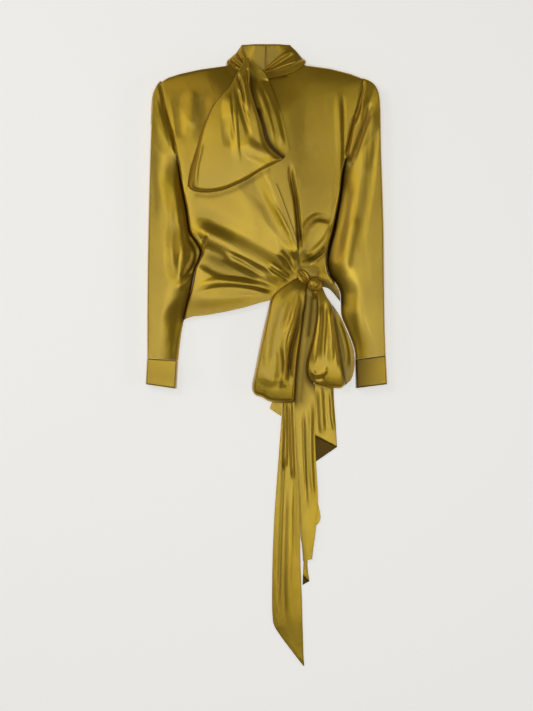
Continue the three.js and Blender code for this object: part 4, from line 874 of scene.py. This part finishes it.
def make_ribbon(name, node, ribbon, thickness):
    left, right = [Route([row[side] for row in ribbon["rows"]]) for side in (0, 1)]
    u, v = np.meshgrid(shares(ribbon["steps"][0]), shares(ribbon["steps"][1]), indexing="ij")
    xy = mix(left.at(u), right.at(u), v[..., None])
    ground = ribbon["ground"](xy)
    folds = np.maximum(0, fold_height(ribbon["folds"], xy))
    rise = ribbon["rise"] * np.sin(np.pi * np.clip(v, 0, 1)) ** 0.6
    creases = fold_height(ribbon["creases"], xy) * smooth(np.minimum(v, 1 - v) / 0.12)
    z = ground + PANEL_CLOTH + rise + folds + np.maximum(creases, -rise)
    # Shade painted into the colour in the valleys of the creases, at three times their depth
    depth = fold_relief(ribbon["creases"], xy)[1] * 3
    # The part turned under is lowered and gets full painted shade
    if "underside" in ribbon:
        turned = Route(ribbon["underside"]).nearest(xy)
        beyond = smooth(1 + np.where(turned[1] < 0, turned[0], -turned[0]) / 1.5) * (turned[1] < 0)
        z = np.maximum(ground + PANEL_CLOTH * 0.6, z - beyond)
        depth = np.maximum(depth, beyond * PAINTED_SHADE_FULL_DEPTH)
    low = ground if ribbon["solid"] else np.maximum(ground, z - thickness)
    piece = sewn_piece(name, lifted(xy, z), lifted(xy, low), node, depth=depth)
    return piece


def on_plane(xy):
    return np.zeros(xy.shape[:-1])


TIE_MIDDLE_DROP = [(-420, 2.4), (-60, 2.4), (0, 3), (60, 5.5), (110, 8.5), (136, 10.5)]


def middle_ground(xy):
    return profile(TIE_MIDDLE_DROP, xy[..., 1])


def tab_ground(xy):
    return shell_height(xy, []) + PANEL_GAP + 0.4


def end_ground(xy):
    return 9 + 6 * smooth((xy[..., 1] - 108) / 22)


RIBBONS = {
    "tie_long": {
        "rows": [
            [(33, -90), (60, -90)], [(30, -123), (64, -125)], [(25, -191), (65, -195)], [(19, -271), (66, -275)],
            [(15, -331), (67, -335)], [(12, -411), (68, -415)], [(11, -491), (71, -491)], [(12, -521), (72, -535)],
            [(15, -539), (73, -560)], [(27, -559), (73.5, -580)], [(50, -590), (74, -600)], [(74, -621), (75.5, -619)],
        ],
        "folds": [
            (3.5, 8, 5, [(37, -90), (37, -169), (35, -231)]),
            (2.8, 5, 6, [(48, -90), (50, -171), (54, -251)]),
        ],
        "creases": [
            (-1.4, 6, 5, [(39, -99), (33, -191), (28, -311), (24, -431), (23, -501)]),
            (0.8, 10, 10, [(48, -251), (46, -351), (44, -451), (47, -541)]),
            (-1, 7, 7, [(59, -131), (60, -221), (58, -321), (59, -421)]),
        ],
        "ground": on_plane, "rise": 0.5, "solid": True, "steps": (230, 50), "flat": (60, 540), "area": 0.027,
    },
    "tie_turned": {
        "rows": [
            [(96, -55), (134, -61)], [(93, -90), (135, -91)], [(92, -131), (138, -131)], [(94, -171), (140, -162)],
            [(99, -212), (141, -183)],
        ],
        "folds": [(1.6, 8, 10, [(108, -60), (110, -111), (113, -161)]), (1.4, 8, 5, [(128, -66), (131, -121), (137, -155)])],
        "creases": [], "underside": [(96, -160), (113, -168), (144, -184)],
        "ground": on_plane, "rise": 0.9, "solid": True, "steps": (70, 40), "flat": (48, 155), "area": 0.0062,
    },
    "tie_lower": {
        "rows": [
            [(84, -231), (98, -231)], [(80, -281), (102, -287)], [(76, -331), (108, -327)], [(75, -371), (92, -351)],
            [(74, -411), (82, -411)], [(72, -459), (86, -451)],
        ],
        "folds": [(1.2, 6, 6, [(86, -235), (88, -301), (84, -351)])],
        "creases": [], "underside": [(68, -434), (76, -442), (90, -456)],
        "ground": on_plane, "rise": 0.4, "solid": True, "steps": (90, 24), "flat": (32, 230), "area": 0.0042,
    },
    "tie_under": {
        "rows": [[(13, -88), (32.4, -90)], [(9, -98), (31.3, -104)], [(6, -106), (29.6, -122)]],
        "folds": [],
        "creases": [],
        "ground": on_plane, "rise": 0.3, "solid": True, "steps": (24, 20), "flat": (27, 34), "area": 0.00062,
    },
    "tie_middle": {
        "rows": [
            [(80, 137), (96, 136)], [(74, 112), (104, 110)], [(71, 96), (109, 92)], [(69, 78), (108, 69)],
            [(63, 40), (101, 36)], [(59, 10), (96, 9)], [(56, -14), (91, -15)], [(55, -38), (91, -34)],
            [(54, -51), (92, -51)], [(54, -70), (96, -60)], [(55.5, -88), (99, -91)], [(57, -131), (97, -131)],
            [(60, -191), (98, -191)], [(64, -261), (102, -261)], [(66, -291), (103, -291)], [(67, -331), (100, -331)],
            [(68, -361), (97, -361)], [(71, -381), (94, -381)], [(73, -411), (91, -407)],
        ],
        "folds": [(1.5, 7, 7, [(89, -91), (88, -191), (93, -291)])],
        "creases": [
            (-0.8, 4, 4, [(73, -101), (75, -191), (79, -281)]),
            (0.7, 5, 5, [(81, -111), (82, -211), (86, -311)]),
        ],
        "ground": middle_ground, "rise": 0.8, "solid": False, "steps": (230, 40), "flat": (42, 550), "area": 0.0172,
    },
    "waist_tab": {
        "rows": [[(69, 176), (100, 174)], [(71, 169), (101, 166)], [(74, 160.5), (100, 158)]],
        "folds": [],
        "creases": [],
        "ground": tab_ground, "rise": 0.4, "solid": True, "steps": (20, 30), "flat": (30, 17), "area": 0.0005,
    },
    "waist_end": {
        "rows": [[(88, 134), (107, 134)], [(90, 123), (104, 123)], [(94, 111), (97, 111)]],
        "folds": [],
        "creases": [],
        "ground": end_ground, "rise": 1.4, "solid": False, "steps": (20, 20), "flat": (19, 24), "area": 0.00032,
    },
}


# Knots: a tight wrap of cloth with the gathers of the band running over it
KNOTS = {
    "waist_knot": {
        "centre": (96, 141, 27), "base": 18.4, "length": 29, "width": 27, "depth": 24, "turn": math.pi / 2,
        "gathers": 5, "gather": 0.1, "twist": 2.2,
    },
    "waist_wrap": {
        "centre": (73.3, 156.3, 21.6), "base": 15.6, "length": 33, "width": 20, "depth": 19, "turn": -0.9,
        "gathers": 9, "gather": 0.17, "twist": 0.6,
    },
}
KNOT_STEPS = {"along": 40, "around": 72}


def make_knot(name, knot):
    rings, around = KNOT_STEPS["along"], KNOT_STEPS["around"]
    tilt = (np.pi * (np.arange(1, rings) / rings))[:, None]
    turn = (2 * np.pi * np.arange(around) / around)[None, :]
    wound = knot["gathers"] * turn + knot["twist"] * tilt
    gather = 1 + knot["gather"] * np.cos(wound) * np.sin(tilt)
    along = np.cos(tilt) * knot["length"] / 2 + 0 * turn
    radius = np.sin(tilt) * gather
    side = radius * np.cos(turn) * knot["width"] / 2
    up = radius * np.sin(turn) * knot["depth"] / 2
    c, s = math.cos(knot["turn"]), math.sin(knot["turn"])
    x0, y0, z0 = knot["centre"]
    points = np.stack([x0 + along * c - side * s, y0 + along * s + side * c, np.maximum(knot["base"], z0 + up)], -1)
    tips = [[x0 + sign * knot["length"] / 2 * c, y0 + sign * knot["length"] / 2 * s, z0] for sign in (1, -1)]
    count = (rings - 1) * around
    flat = np.concatenate([points.reshape(-1, 3), np.array(tips)]) * MM
    index = np.arange(count).reshape(rings - 1, around)
    ring = np.hstack([index, index[:, :1]])
    faces = np.stack([c.ravel() for c in (ring[:-1, :-1], ring[1:, :-1], ring[1:, 1:], ring[:-1, 1:])], -1).tolist()
    faces += [[count, int(a), int(b)] for a, b in zip(ring[0, :-1], ring[0, 1:])]
    faces += [[count + 1, int(b), int(a)] for a, b in zip(ring[-1, :-1], ring[-1, 1:])]
    mesh = bpy.data.meshes.new(name)
    mesh.from_pydata(flat.tolist(), [], faces)
    mesh.shade_smooth()
    mesh.uv_layers.new(name="Cloth")
    piece = bpy.data.objects.new(f"{name}_cloth", mesh)
    bpy.context.scene.collection.objects.link(piece)
    mesh.materials.append(bpy.data.materials["satin_face"])
    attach(piece, "root")
    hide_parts(name)
    return piece


# Materials

def new_socket(group, name, kind, direction="INPUT", value=None):
    socket = group.interface.new_socket(name=name, in_out=direction, socket_type=kind)
    if value is not None:
        socket.default_value = value
    return socket


def weave_group():
    """Fine satin weave with a slow change of colour and with shade painted into the colour from the Depth attribute,
    shared by both faces of the cloth.
    """
    group = bpy.data.node_groups.new("Satin weave", "ShaderNodeTree")
    new_socket(group, "Colour", "NodeSocketColor", value=(0.4, 0.3, 0.1, 1))
    new_socket(group, "Shade", "NodeSocketColor", value=(0.2, 0.15, 0.05, 1))
    new_socket(group, "Thread", "NodeSocketFloat", value=0.0005)
    new_socket(group, "Relief", "NodeSocketFloat", value=0.1)
    new_socket(group, "Roughness", "NodeSocketFloat", value=0.35)
    new_socket(group, "Colour", "NodeSocketColor", "OUTPUT")
    new_socket(group, "Roughness", "NodeSocketFloat", "OUTPUT")
    new_socket(group, "Coat", "NodeSocketFloat", "OUTPUT")
    new_socket(group, "Normal", "NodeSocketVector", "OUTPUT")
    nodes, links = group.nodes, group.links
    inputs, outputs = nodes.new("NodeGroupInput"), nodes.new("NodeGroupOutput")
    uv = nodes.new("ShaderNodeUVMap")
    uv.uv_map = "Cloth"
    place = nodes.new("ShaderNodeTexCoord")
    scale = nodes.new("ShaderNodeMath")
    scale.operation = "DIVIDE"
    scale.inputs[0].default_value = 1.0
    links.new(inputs.outputs["Thread"], scale.inputs[1])
    stretch = nodes.new("ShaderNodeVectorMath")
    stretch.operation = "SCALE"
    links.new(uv.outputs["UV"], stretch.inputs[0])
    links.new(scale.outputs[0], stretch.inputs["Scale"])
    twill = nodes.new("ShaderNodeTexWave")
    twill.wave_type = "BANDS"
    twill.bands_direction = "DIAGONAL"
    twill.inputs["Scale"].default_value = 0.5
    twill.inputs["Distortion"].default_value = 1.5
    twill.inputs["Detail"].default_value = 1.0
    links.new(stretch.outputs[0], twill.inputs["Vector"])
    drift = nodes.new("ShaderNodeTexNoise")
    drift.inputs["Scale"].default_value = 9.0
    drift.inputs["Detail"].default_value = 3.0
    links.new(place.outputs["Object"], drift.inputs["Vector"])
    ramp = nodes.new("ShaderNodeMapRange")
    ramp.inputs["From Min"].default_value = 0.35
    ramp.inputs["From Max"].default_value = 0.7
    ramp.inputs["To Min"].default_value = 0.0
    ramp.inputs["To Max"].default_value = 0.35
    links.new(drift.outputs["Fac"], ramp.inputs["Value"])
    # Painted shade: the Depth attribute mixes the colour towards a dark brown, up to 0.92 of the way
    depth = nodes.new("ShaderNodeAttribute")
    depth.attribute_name = "Depth"
    painted_shade_strength = nodes.new("ShaderNodeMath")
    painted_shade_strength.operation = "MULTIPLY"
    painted_shade_strength.inputs[1].default_value = 0.92
    links.new(depth.outputs["Fac"], painted_shade_strength.inputs[0])
    # The colour of the painted shade, a dark brown
    painted_shade_mix = nodes.new("ShaderNodeMix")
    painted_shade_mix.data_type = "RGBA"
    painted_shade_mix.inputs["B"].default_value = (0.03, 0.012, 0.0005, 1)
    tone = nodes.new("ShaderNodeMix")
    tone.data_type = "RGBA"
    links.new(ramp.outputs["Result"], tone.inputs["Factor"])
    links.new(inputs.outputs["Colour"], tone.inputs["A"])
    links.new(inputs.outputs["Shade"], tone.inputs["B"])
    rough = nodes.new("ShaderNodeMath")
    rough.operation = "MULTIPLY_ADD"
    rough.inputs[1].default_value = 0.08
    links.new(drift.outputs["Fac"], rough.inputs[0])
    links.new(inputs.outputs["Roughness"], rough.inputs[2])
    bump = nodes.new("ShaderNodeBump")
    bump.inputs["Distance"].default_value = 0.0002
    links.new(inputs.outputs["Relief"], bump.inputs["Strength"])
    links.new(twill.outputs["Fac"], bump.inputs["Height"])
    links.new(tone.outputs["Result"], painted_shade_mix.inputs["A"])
    links.new(painted_shade_strength.outputs[0], painted_shade_mix.inputs["Factor"])
    links.new(painted_shade_mix.outputs["Result"], outputs.inputs["Colour"])
    # The coat is thinned where shade is painted, so its reflection does not lift the painted shade
    gloss = nodes.new("ShaderNodeMath")
    gloss.operation = "MULTIPLY_ADD"
    gloss.inputs[1].default_value = -0.38
    gloss.inputs[2].default_value = 0.38
    links.new(depth.outputs["Fac"], gloss.inputs[0])
    links.new(gloss.outputs[0], outputs.inputs["Coat"])
    links.new(rough.outputs[0], outputs.inputs["Roughness"])
    links.new(bump.outputs["Normal"], outputs.inputs["Normal"])
    return group


def cloth_material(name, colour, shade, roughness, metallic, relief):
    material = bpy.data.materials.new(name)
    material.use_nodes = True
    nodes, links = material.node_tree.nodes, material.node_tree.links
    shader = nodes["Principled BSDF"]
    weave = nodes.new("ShaderNodeGroup")
    weave.node_tree = bpy.data.node_groups["Satin weave"]
    weave.inputs["Colour"].default_value = (*colour, 1)
    weave.inputs["Shade"].default_value = (*shade, 1)
    weave.inputs["Roughness"].default_value = roughness
    weave.inputs["Relief"].default_value = relief
    shader.inputs["Metallic"].default_value = metallic
    shader.inputs["Coat Roughness"].default_value = 0.3
    links.new(weave.outputs["Colour"], shader.inputs["Base Color"])
    links.new(weave.outputs["Roughness"], shader.inputs["Roughness"])
    links.new(weave.outputs["Coat"], shader.inputs["Coat Weight"])
    shader.inputs["Specular IOR Level"].default_value = 0.3
    links.new(weave.outputs["Normal"], shader.inputs["Normal"])
    return material


def plain_material(name, colour, roughness):
    material = bpy.data.materials.new(name)
    material.use_nodes = True
    shader = material.node_tree.nodes["Principled BSDF"]
    shader.inputs["Base Color"].default_value = (*colour, 1)
    shader.inputs["Roughness"].default_value = roughness
    shader.inputs["Specular IOR Level"].default_value = 0.1
    return material


# Stitches, laid along a line by Geometry Nodes

def stitch_tree():
    tree = bpy.data.node_groups.new("Stitch row", "GeometryNodeTree")
    new_socket(tree, "Line", "NodeSocketGeometry")
    new_socket(tree, "Geometry", "NodeSocketGeometry", "OUTPUT")
    new_socket(tree, "Pitch", "NodeSocketFloat", value=0.0025)
    new_socket(tree, "Thread radius", "NodeSocketFloat", value=0.00025)
    new_socket(tree, "Stitch length", "NodeSocketFloat", value=0.0019)
    new_socket(tree, "Thread", "NodeSocketMaterial")
    nodes, links = tree.nodes, tree.links
    inputs, outputs = nodes.new("NodeGroupInput"), nodes.new("NodeGroupOutput")
    to_curve = nodes.new("GeometryNodeMeshToCurve")
    spread = nodes.new("GeometryNodeResampleCurve")
    spread.mode = "LENGTH"
    bar = nodes.new("GeometryNodeMeshCylinder")
    bar.inputs["Vertices"].default_value = 6
    turn = nodes.new("FunctionNodeAlignRotationToVector")
    turn.axis = "Z"
    tangent = nodes.new("GeometryNodeInputTangent")
    place = nodes.new("GeometryNodeInstanceOnPoints")
    real = nodes.new("GeometryNodeRealizeInstances")
    paint = nodes.new("GeometryNodeSetMaterial")
    links.new(inputs.outputs["Line"], to_curve.inputs["Mesh"])
    links.new(to_curve.outputs["Curve"], spread.inputs["Curve"])
    links.new(inputs.outputs["Pitch"], spread.inputs["Length"])
    links.new(spread.outputs["Curve"], place.inputs["Points"])
    links.new(inputs.outputs["Thread radius"], bar.inputs["Radius"])
    links.new(inputs.outputs["Stitch length"], bar.inputs["Depth"])
    links.new(bar.outputs["Mesh"], place.inputs["Instance"])
    links.new(tangent.outputs["Tangent"], turn.inputs["Vector"])
    links.new(turn.outputs["Rotation"], place.inputs["Rotation"])
    links.new(place.outputs["Instances"], real.inputs["Geometry"])
    links.new(real.outputs["Geometry"], paint.inputs["Geometry"])
    links.new(inputs.outputs["Thread"], paint.inputs["Material"])
    links.new(paint.outputs["Geometry"], outputs.inputs["Geometry"])
    return tree


def stitch_piece(name, lines, pitch):
    """Rows of stitches along lines of points in millimetres, as one plain mesh."""
    points, edges = [], []
    for line in lines:
        start = len(points)
        points += (np.asarray(line, float) * MM).tolist()
        edges += [(n, n + 1) for n in range(start, len(points) - 1)]
    mesh = bpy.data.meshes.new(f"{name}_line")
    mesh.from_pydata(points, edges, [])
    guide = bpy.data.objects.new(f"{name}_line", mesh)
    bpy.context.scene.collection.objects.link(guide)
    rows = guide.modifiers.new("Stitches", "NODES")
    rows.node_group = bpy.data.node_groups["Stitch row"]
    sockets = {s.name: s.identifier for s in rows.node_group.interface.items_tree if s.in_out == "INPUT"}
    rows[sockets["Pitch"]] = pitch
    rows[sockets["Stitch length"]] = pitch * 0.75
    rows[sockets["Thread"]] = bpy.data.materials["thread"]
    depsgraph = bpy.context.evaluated_depsgraph_get()
    made = bpy.data.meshes.new_from_object(guide.evaluated_get(depsgraph))
    made.name = name
    guide.modifiers.remove(rows)
    bpy.data.objects.remove(guide)
    piece = bpy.data.objects.new(name, made)
    bpy.context.scene.collection.objects.link(piece)
    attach(piece, "root")
    return piece


def over(path, inset, height_at, raise_by=0.35):
    """A row of points set in from a line, to the left of its direction, on the cloth below them."""
    line = Route(path)
    at = np.linspace(0.01, 0.99, 160)
    along = line.at(np.minimum(1, at + 0.005)) - line.at(np.maximum(0, at - 0.005))
    along /= np.linalg.norm(along, axis=-1, keepdims=True)
    xy = line.at(at) + np.stack([-along[:, 1], along[:, 0]], -1) * inset
    return lifted(xy, height_at(xy) + raise_by)


# Settings

class BlouseSizes(bpy.types.PropertyGroup):
    cloth: FloatProperty(name="Cloth", description="Thickness of one layer of satin", default=0.0011, unit="LENGTH")
    cuff: FloatProperty(name="Cuff", description="Thickness of a cuff's layers", default=0.0018, unit="LENGTH")
    pitch: FloatProperty(name="Stitch pitch", description="From one stitch to the next", default=0.0026, unit="LENGTH")
    camera: FloatProperty(name="Camera height", description="Camera above the floor", default=3.0, unit="LENGTH")


class BlouseColours(bpy.types.PropertyGroup):
    satin: FloatVectorProperty(name="Satin", description="Face of the satin", default=(0.5, 0.3, 0.015),
                               subtype="COLOR", min=0, max=1)
    shade: FloatVectorProperty(name="Satin shade", description="Deeper tone of the satin", default=(0.43, 0.25, 0.009),
                               subtype="COLOR", min=0, max=1)
    inside: FloatVectorProperty(name="Inside", description="Duller back of the satin", default=(0.46, 0.275, 0.012),
                                subtype="COLOR", min=0, max=1)
    thread: FloatVectorProperty(name="Thread", description="Sewing thread", default=(0.30, 0.21, 0.04),
                                subtype="COLOR", min=0, max=1)
    floor: FloatVectorProperty(name="Floor", description="Floor under the blouse", default=(0.82, 0.82, 0.81),
                               subtype="COLOR", min=0, max=1)


# Operators

class BLOUSE_OT_materials(bpy.types.Operator):
    """Mix the satin, its dull back and the thread"""
    bl_idname = "blouse.materials"
    bl_label = "Make cloth materials"

    def execute(self, context):
        colours = context.scene.blouse_colours
        weave_group()
        cloth_material("satin_face", colours.satin, colours.shade, 0.26, 0.75, 0.25)
        cloth_material("satin_back", colours.inside, colours.shade, 0.31, 0.7, 0.35)
        plain_material("thread", colours.thread, 0.6)
        stitch_tree()
        return {"FINISHED"}


class BLOUSE_OT_stage(bpy.types.Operator):
    """Lay the pale floor, and set the camera and the soft lights over it"""
    bl_idname = "blouse.stage"
    bl_label = "Add stage"

    def execute(self, context):
        scene = context.scene
        mesh = bpy.data.meshes.new("floor")
        half = 6.0
        mesh.from_pydata([(-half, -half, 0), (half, -half, 0), (half, half, 0), (-half, half, 0)], [], [(0, 1, 2, 3)])
        paper = plain_material("floor", scene.blouse_colours.floor, 0.9)
        glow = paper.node_tree.nodes["Principled BSDF"]
        glow.inputs["Emission Color"].default_value = (1.0, 0.97, 0.96, 1)
        glow.inputs["Emission Strength"].default_value = 0.47
        mesh.materials.append(paper)
        floor = bpy.data.objects.new("floor", mesh)
        floor.location.z = -0.0005
        scene.collection.objects.link(floor)
        height = scene.blouse_sizes.camera
        camera = bpy.data.cameras.new("camera")
        camera.sensor_width = 36
        camera.lens = 36 * height / 1.422
        eye = bpy.data.objects.new("camera", camera)
        eye.location = (0, 0, height)
        scene.collection.objects.link(eye)
        scene.camera = eye
        self.light(scene, "softbox", (-0.08, -0.06, 3.05), (-0.08, -0.06, 0), (1.6, 1.02), 23, (0.9, 1.0, 0.95))
        self.light(scene, "key", (-1.6, 1.3, 2.0), (0, 0.1, 0), (0.9, 0.9), 8, (1.0, 0.97, 0.9))
        self.light(scene, "left strip", (-2.6, -0.2, 1.1), (0, 0, 0), (2.4, 0.5), 5, (1.0, 0.97, 0.9))
        self.light(scene, "right strip", (2.6, -0.2, 1.1), (0, 0, 0), (2.4, 0.5), 6, (1.0, 0.97, 0.9))
        world = bpy.data.worlds.new("studio")
        world.use_nodes = True
        back = world.node_tree.nodes["Background"]
        back.inputs["Color"].default_value = (1.0, 0.92, 0.84, 1)
        # The studio walls are pale, and the ceiling above them is dim
        nodes, links = world.node_tree.nodes, world.node_tree.links
        towards = nodes.new("ShaderNodeTexCoord")
        upward = nodes.new("ShaderNodeSeparateXYZ")
        links.new(towards.outputs["Generated"], upward.inputs[0])
        walls = nodes.new("ShaderNodeMapRange")
        walls.interpolation_type = "SMOOTHSTEP"
        walls.inputs["From Min"].default_value = 0.05
        walls.inputs["From Max"].default_value = 0.6
        walls.inputs["To Min"].default_value = 0.42
        walls.inputs["To Max"].default_value = 0.07
        links.new(upward.outputs["Z"], walls.inputs["Value"])
        links.new(walls.outputs["Result"], back.inputs["Strength"])
        scene.world = world
        scene.view_settings.view_transform = "Standard"
        return {"FINISHED"}

    def light(self, scene, name, place, target, size, power, colour):
        lamp = bpy.data.lights.new(name, "AREA")
        lamp.shape = "RECTANGLE"
        lamp.size, lamp.size_y = size
        lamp.energy = power
        lamp.color = colour
        holder = bpy.data.objects.new(name, lamp)
        holder.location = place
        holder.rotation_mode = "QUATERNION"
        holder.rotation_quaternion = (Vector(target) - Vector(place)).to_track_quat("-Z", "Y")
        scene.collection.objects.link(holder)


class BLOUSE_OT_panels(bpy.types.Operator):
    """Cut and lay the back and the two wrapped fronts"""
    bl_idname = "blouse.panels"
    bl_label = "Add back and fronts"

    def execute(self, context):
        cloth = context.scene.blouse_sizes.cloth / MM
        make_back(cloth)
        make_right_front(cloth)
        make_left_front(cloth)
        return {"FINISHED"}


class BLOUSE_OT_sleeves(bpy.types.Operator):
    """Set in the two sleeves with their cuffs"""
    bl_idname = "blouse.sleeves"
    bl_label = "Add sleeves and cuffs"

    def execute(self, context):
        sizes = context.scene.blouse_sizes
        cloth, cuff = sizes.cloth / MM, sizes.cuff / MM
        right = make_sleeve("sleeve_right_cloth", "sleeve_right", OUTLINES[0], ARMHOLE_RIGHT, SIDES[0], -1, cloth)
        left = make_sleeve("sleeve_left_cloth", "sleeve_left", OUTLINES[1], ARMHOLE_LEFT, SIDES[1], 1, cloth)
        for side in ("right", "left"):
            make_cuff(side, cuff)
        return {"FINISHED"}


class BLOUSE_OT_collar(bpy.types.Operator):
    """Join the collar halves and lay the pleated scarf on each side of the neck"""
    bl_idname = "blouse.collar"
    bl_label = "Add collar and scarf"

    def execute(self, context):
        for side in ("right", "left"):
            make_collar_half(side)
        for side in ("right", "left"):
            make_scarf(side, context.scene.blouse_sizes.cloth / MM)
        return {"FINISHED"}


class BLOUSE_OT_loops(bpy.types.Operator):
    """Drape the neck bow and the two waist loops"""
    bl_idname = "blouse.loops"
    bl_label = "Add bow and waist loops"

    def execute(self, context):
        cloth = context.scene.blouse_sizes.cloth / MM
        bow = make_loop("bow_loop_cloth", "bow_loop", BOW_LOOP, cloth)
        right = make_loop("waist_loop_right_cloth", "waist_loop_right", WAIST_LOOP_RIGHT, cloth)
        left = make_loop("waist_loop_left_cloth", "waist_loop_left", WAIST_LOOP_LEFT, cloth)
        return {"FINISHED"}


class BLOUSE_OT_ties(bpy.types.Operator):
    """Lay out the hanging ends of the ties"""
    bl_idname = "blouse.ties"
    bl_label = "Add tie ends"

    def execute(self, context):
        cloth = context.scene.blouse_sizes.cloth / MM
        for name, ribbon in RIBBONS.items():
            piece = make_ribbon(f"{name}_cloth", name, ribbon, cloth)
        return {"FINISHED"}


class BLOUSE_OT_knots(bpy.types.Operator):
    """Tie the knot at the waist and the end that wraps it"""
    bl_idname = "blouse.knots"
    bl_label = "Add waist knots"

    def execute(self, context):
        for name, knot in KNOTS.items():
            make_knot(name, knot)
        return {"FINISHED"}


class BLOUSE_OT_stitches(bpy.types.Operator):
    """Sew the rows of stitches on the cuffs and the collar seam"""
    bl_idname = "blouse.stitches"
    bl_label = "Add stitches"

    def execute(self, context):
        pitch = context.scene.blouse_sizes.pitch
        rows = np.stack([np.full(40, 1.0), np.linspace(617, 572, 40)], -1)
        collar = lifted(rows, COLLAR_THICK + 0.1 + COLLAR_STAND * (rows[:, 1] - 558) / 63)
        stitch_piece("collar_stitches", [collar], pitch)
        hem = over(HEM[1:-2], 7, right_front_height)
        wrap = over(WRAP_EDGE[1:6], 5, right_front_height)
        stitch_piece("front_stitches", [hem, wrap], pitch)
        rows = []
        for side, ends in CUFFS.items():
            rows += [over([ends["outer"][0], ends["inner"][0]], -3 if side == "left" else 3, cuff_height(side), 0.3)]
        stitch_piece("cuff_stitches", rows, pitch)
        return {"FINISHED"}


class BLOUSE_PT_sidebar(bpy.types.Panel):
    bl_idname = "BLOUSE_PT_sidebar"
    bl_label = "Satin wrap blouse"
    bl_space_type = "VIEW_3D"
    bl_region_type = "UI"
    bl_category = "Blouse"

    def draw(self, context):
        for group in (context.scene.blouse_sizes, context.scene.blouse_colours):
            box = self.layout.box()
            for name in group.__annotations__:
                box.prop(group, name)
        for operator in OPERATORS:
            self.layout.operator(operator.bl_idname)


OPERATORS = (
    BLOUSE_OT_materials, BLOUSE_OT_stage, BLOUSE_OT_panels, BLOUSE_OT_sleeves, BLOUSE_OT_collar,
    BLOUSE_OT_loops, BLOUSE_OT_ties, BLOUSE_OT_knots, BLOUSE_OT_stitches,
)
CLASSES = (BlouseSizes, BlouseColours, *OPERATORS, BLOUSE_PT_sidebar)


def register():
    for item in CLASSES:
        bpy.utils.register_class(item)
    bpy.types.Scene.blouse_sizes = PointerProperty(type=BlouseSizes)
    bpy.types.Scene.blouse_colours = PointerProperty(type=BlouseColours)


def unregister():
    del bpy.types.Scene.blouse_colours
    del bpy.types.Scene.blouse_sizes
    for item in reversed(CLASSES):
        bpy.utils.unregister_class(item)


def main():
    register()
    bpy.ops.blouse.materials()
    bpy.ops.blouse.stage()
    bpy.ops.blouse.panels()
    bpy.ops.blouse.sleeves()
    bpy.ops.blouse.collar()
    bpy.ops.blouse.loops()
    bpy.ops.blouse.ties()
    bpy.ops.blouse.knots()
    bpy.ops.blouse.stitches()


if __name__ == "__main__":
    main()
